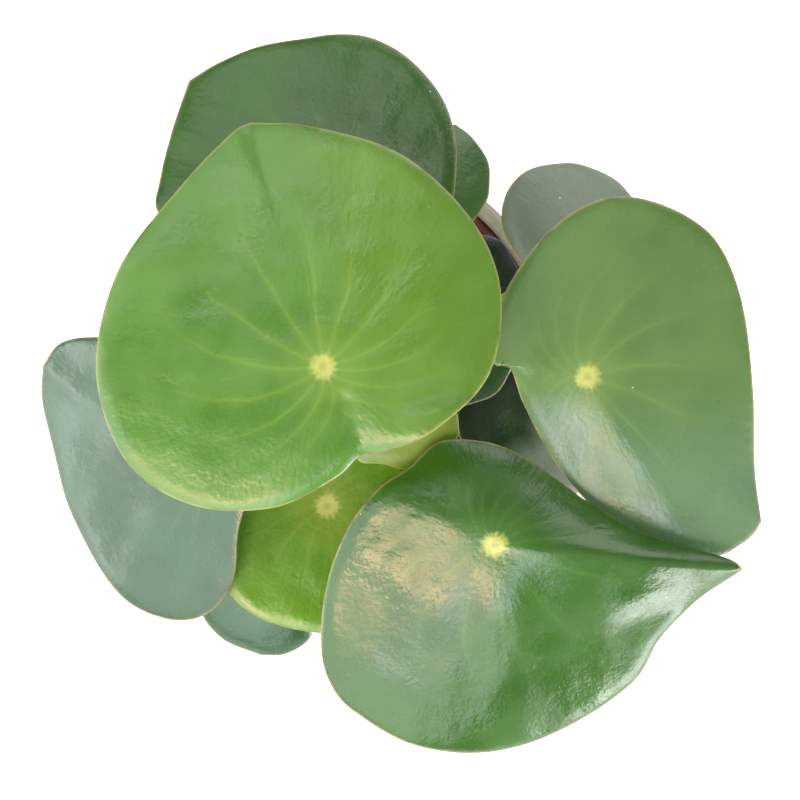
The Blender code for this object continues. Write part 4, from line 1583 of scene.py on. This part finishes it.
@dataclass
class Studio:
    """White floor, soft lights and the camera straight above, as the photograph has them.

    The window gives the broad sheen of the left leaves, the white sheet the grey facet of leaf 3, the
    right sheet the white tip of leaf 2, and the warm lamp the beige patch on leaf 2.
    """

    camera_at: tuple[float, float, float] = (17.2, -10.9, 708.0)
    lens: float = 85.0
    sensor: float = 36.0
    floor_size: float = 6000.0
    backdrop: float = 1.0
    room: float = 0.28
    distance: float = 1200.0
    aim_height: float = 200.0
    lobes: tuple[Lobe, ...] = (
        Lobe(130, 42, 18, 28, 1.2), Lobe(118, 62, 5, 14, 1.4), Lobe(225, 58, 7, 16, 1.6),
        Lobe(345, 48, 12, 32, 0.45), Lobe(68, 12, 14, 34, 1.8), Lobe(310, 21, 4, 10, 1.5))
    lights: tuple[SoftLight, ...] = (
        SoftLight("window", 218, 30, 94, 52, 2.05, "F8FAFF"),
        SoftLight("left_sheet", 190, 2, 44, 18, 2.6, "F8FAFF"),
        SoftLight("white_sheet", 271, 46, 24, 20, 3.0, "E8ECFF"),
        SoftLight("right_sheet", 322, 2, 54, 16, 7.0, "FFFFFF"),
        SoftLight("warm_lamp", 236, 51, 27, 10, 9.0, "FFBE85"))

    def camera(self) -> None:
        """Place the camera: it looks along -Z with +Y up."""
        data = bpy.data.cameras.new("camera")
        data.lens = self.lens
        data.sensor_width = self.sensor
        data.clip_start = 0.01
        data.clip_end = 100.0
        camera = add_object("camera", data)
        camera.location = Vector(self.camera_at) * MM
        bpy.context.scene.camera = camera

    def floor(self) -> None:
        """Lay the floor at the height of the pot's base."""
        half = self.floor_size * MM / 2
        mesh = bpy.data.meshes.new("studio_floor")
        corners = [(x * half, y * half, 0) for x, y in ((-1, -1), (1, -1), (1, 1), (-1, 1))]
        mesh.from_pydata(corners, [], [(0, 1, 2, 3)])
        mesh.materials.append(StudioFinish().make())
        add_object("studio_floor", mesh)

    def world(self) -> None:
        """Dim room round the plant, with soft bright lobes: each is a ramp of the angle to its middle.

        Behind the floor's far edge the camera sees a plain white backdrop instead.
        """
        world = bpy.data.worlds.new("studio")
        world.use_nodes = True
        bpy.context.scene.world = world
        p = Pattern(world.node_tree)
        direction = add_node(p.tree, "TexCoord").outputs["Generated"]
        strength: Any = self.room
        for lobe in self.lobes:
            axis = toward(lobe.bearing, lobe.elevation)
            dot = add_node(p.tree, "VectorMath", {0: direction, 1: axis}, operation="DOT_PRODUCT")
            near, far = (math.cos(math.radians(angle)) for angle in (lobe.inner, lobe.outer))
            strength = p.ramp(Number(dot.outputs["Value"]), far, near, 0, lobe.radiance) + strength
        seen = camera_ray(p)
        fill(world.node_tree.nodes["Background"],
             {"Color": "FFFFFF", "Strength": strength * (1.0 - seen) + seen * self.backdrop})

    def build(self) -> None:
        """Set up floor, world, lights, camera and the plain view transform."""
        self.floor()
        self.world()
        for light in self.lights:
            light.place(self.distance * MM, Vector((0, 0, self.aim_height * MM)))
        self.camera()
        bpy.context.scene.view_settings.view_transform = "Standard"
        bpy.context.scene.view_settings.look = "None"


def main() -> None:
    """Build every piece in order, from the pot inward and upward, then the studio."""
    logging.basicConfig(level=logging.INFO, format="%(name)s %(message)s")
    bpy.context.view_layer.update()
    soil_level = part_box("nursery_pot")[1].z / MM - SOIL_BELOW_RIM
    stem = Stem(soil_level + STEM_BARE_BELOW)
    CoverPot().build()
    NurseryPot().build()
    Soil(soil_level, float(stem.radius(np.array(soil_level)))).build()
    stem.build()
    skins = {finish.age: finish.make() for finish in FINISHES}
    stalk_skin = StalkFinish().make()
    for form in LEAVES:
        leaf = Leaf(form)
        leaf.blade(skins[form.age])
        leaf.stalk(stem, stalk_skin)
    Studio().build()
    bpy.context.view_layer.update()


if __name__ == "__main__":
    main()
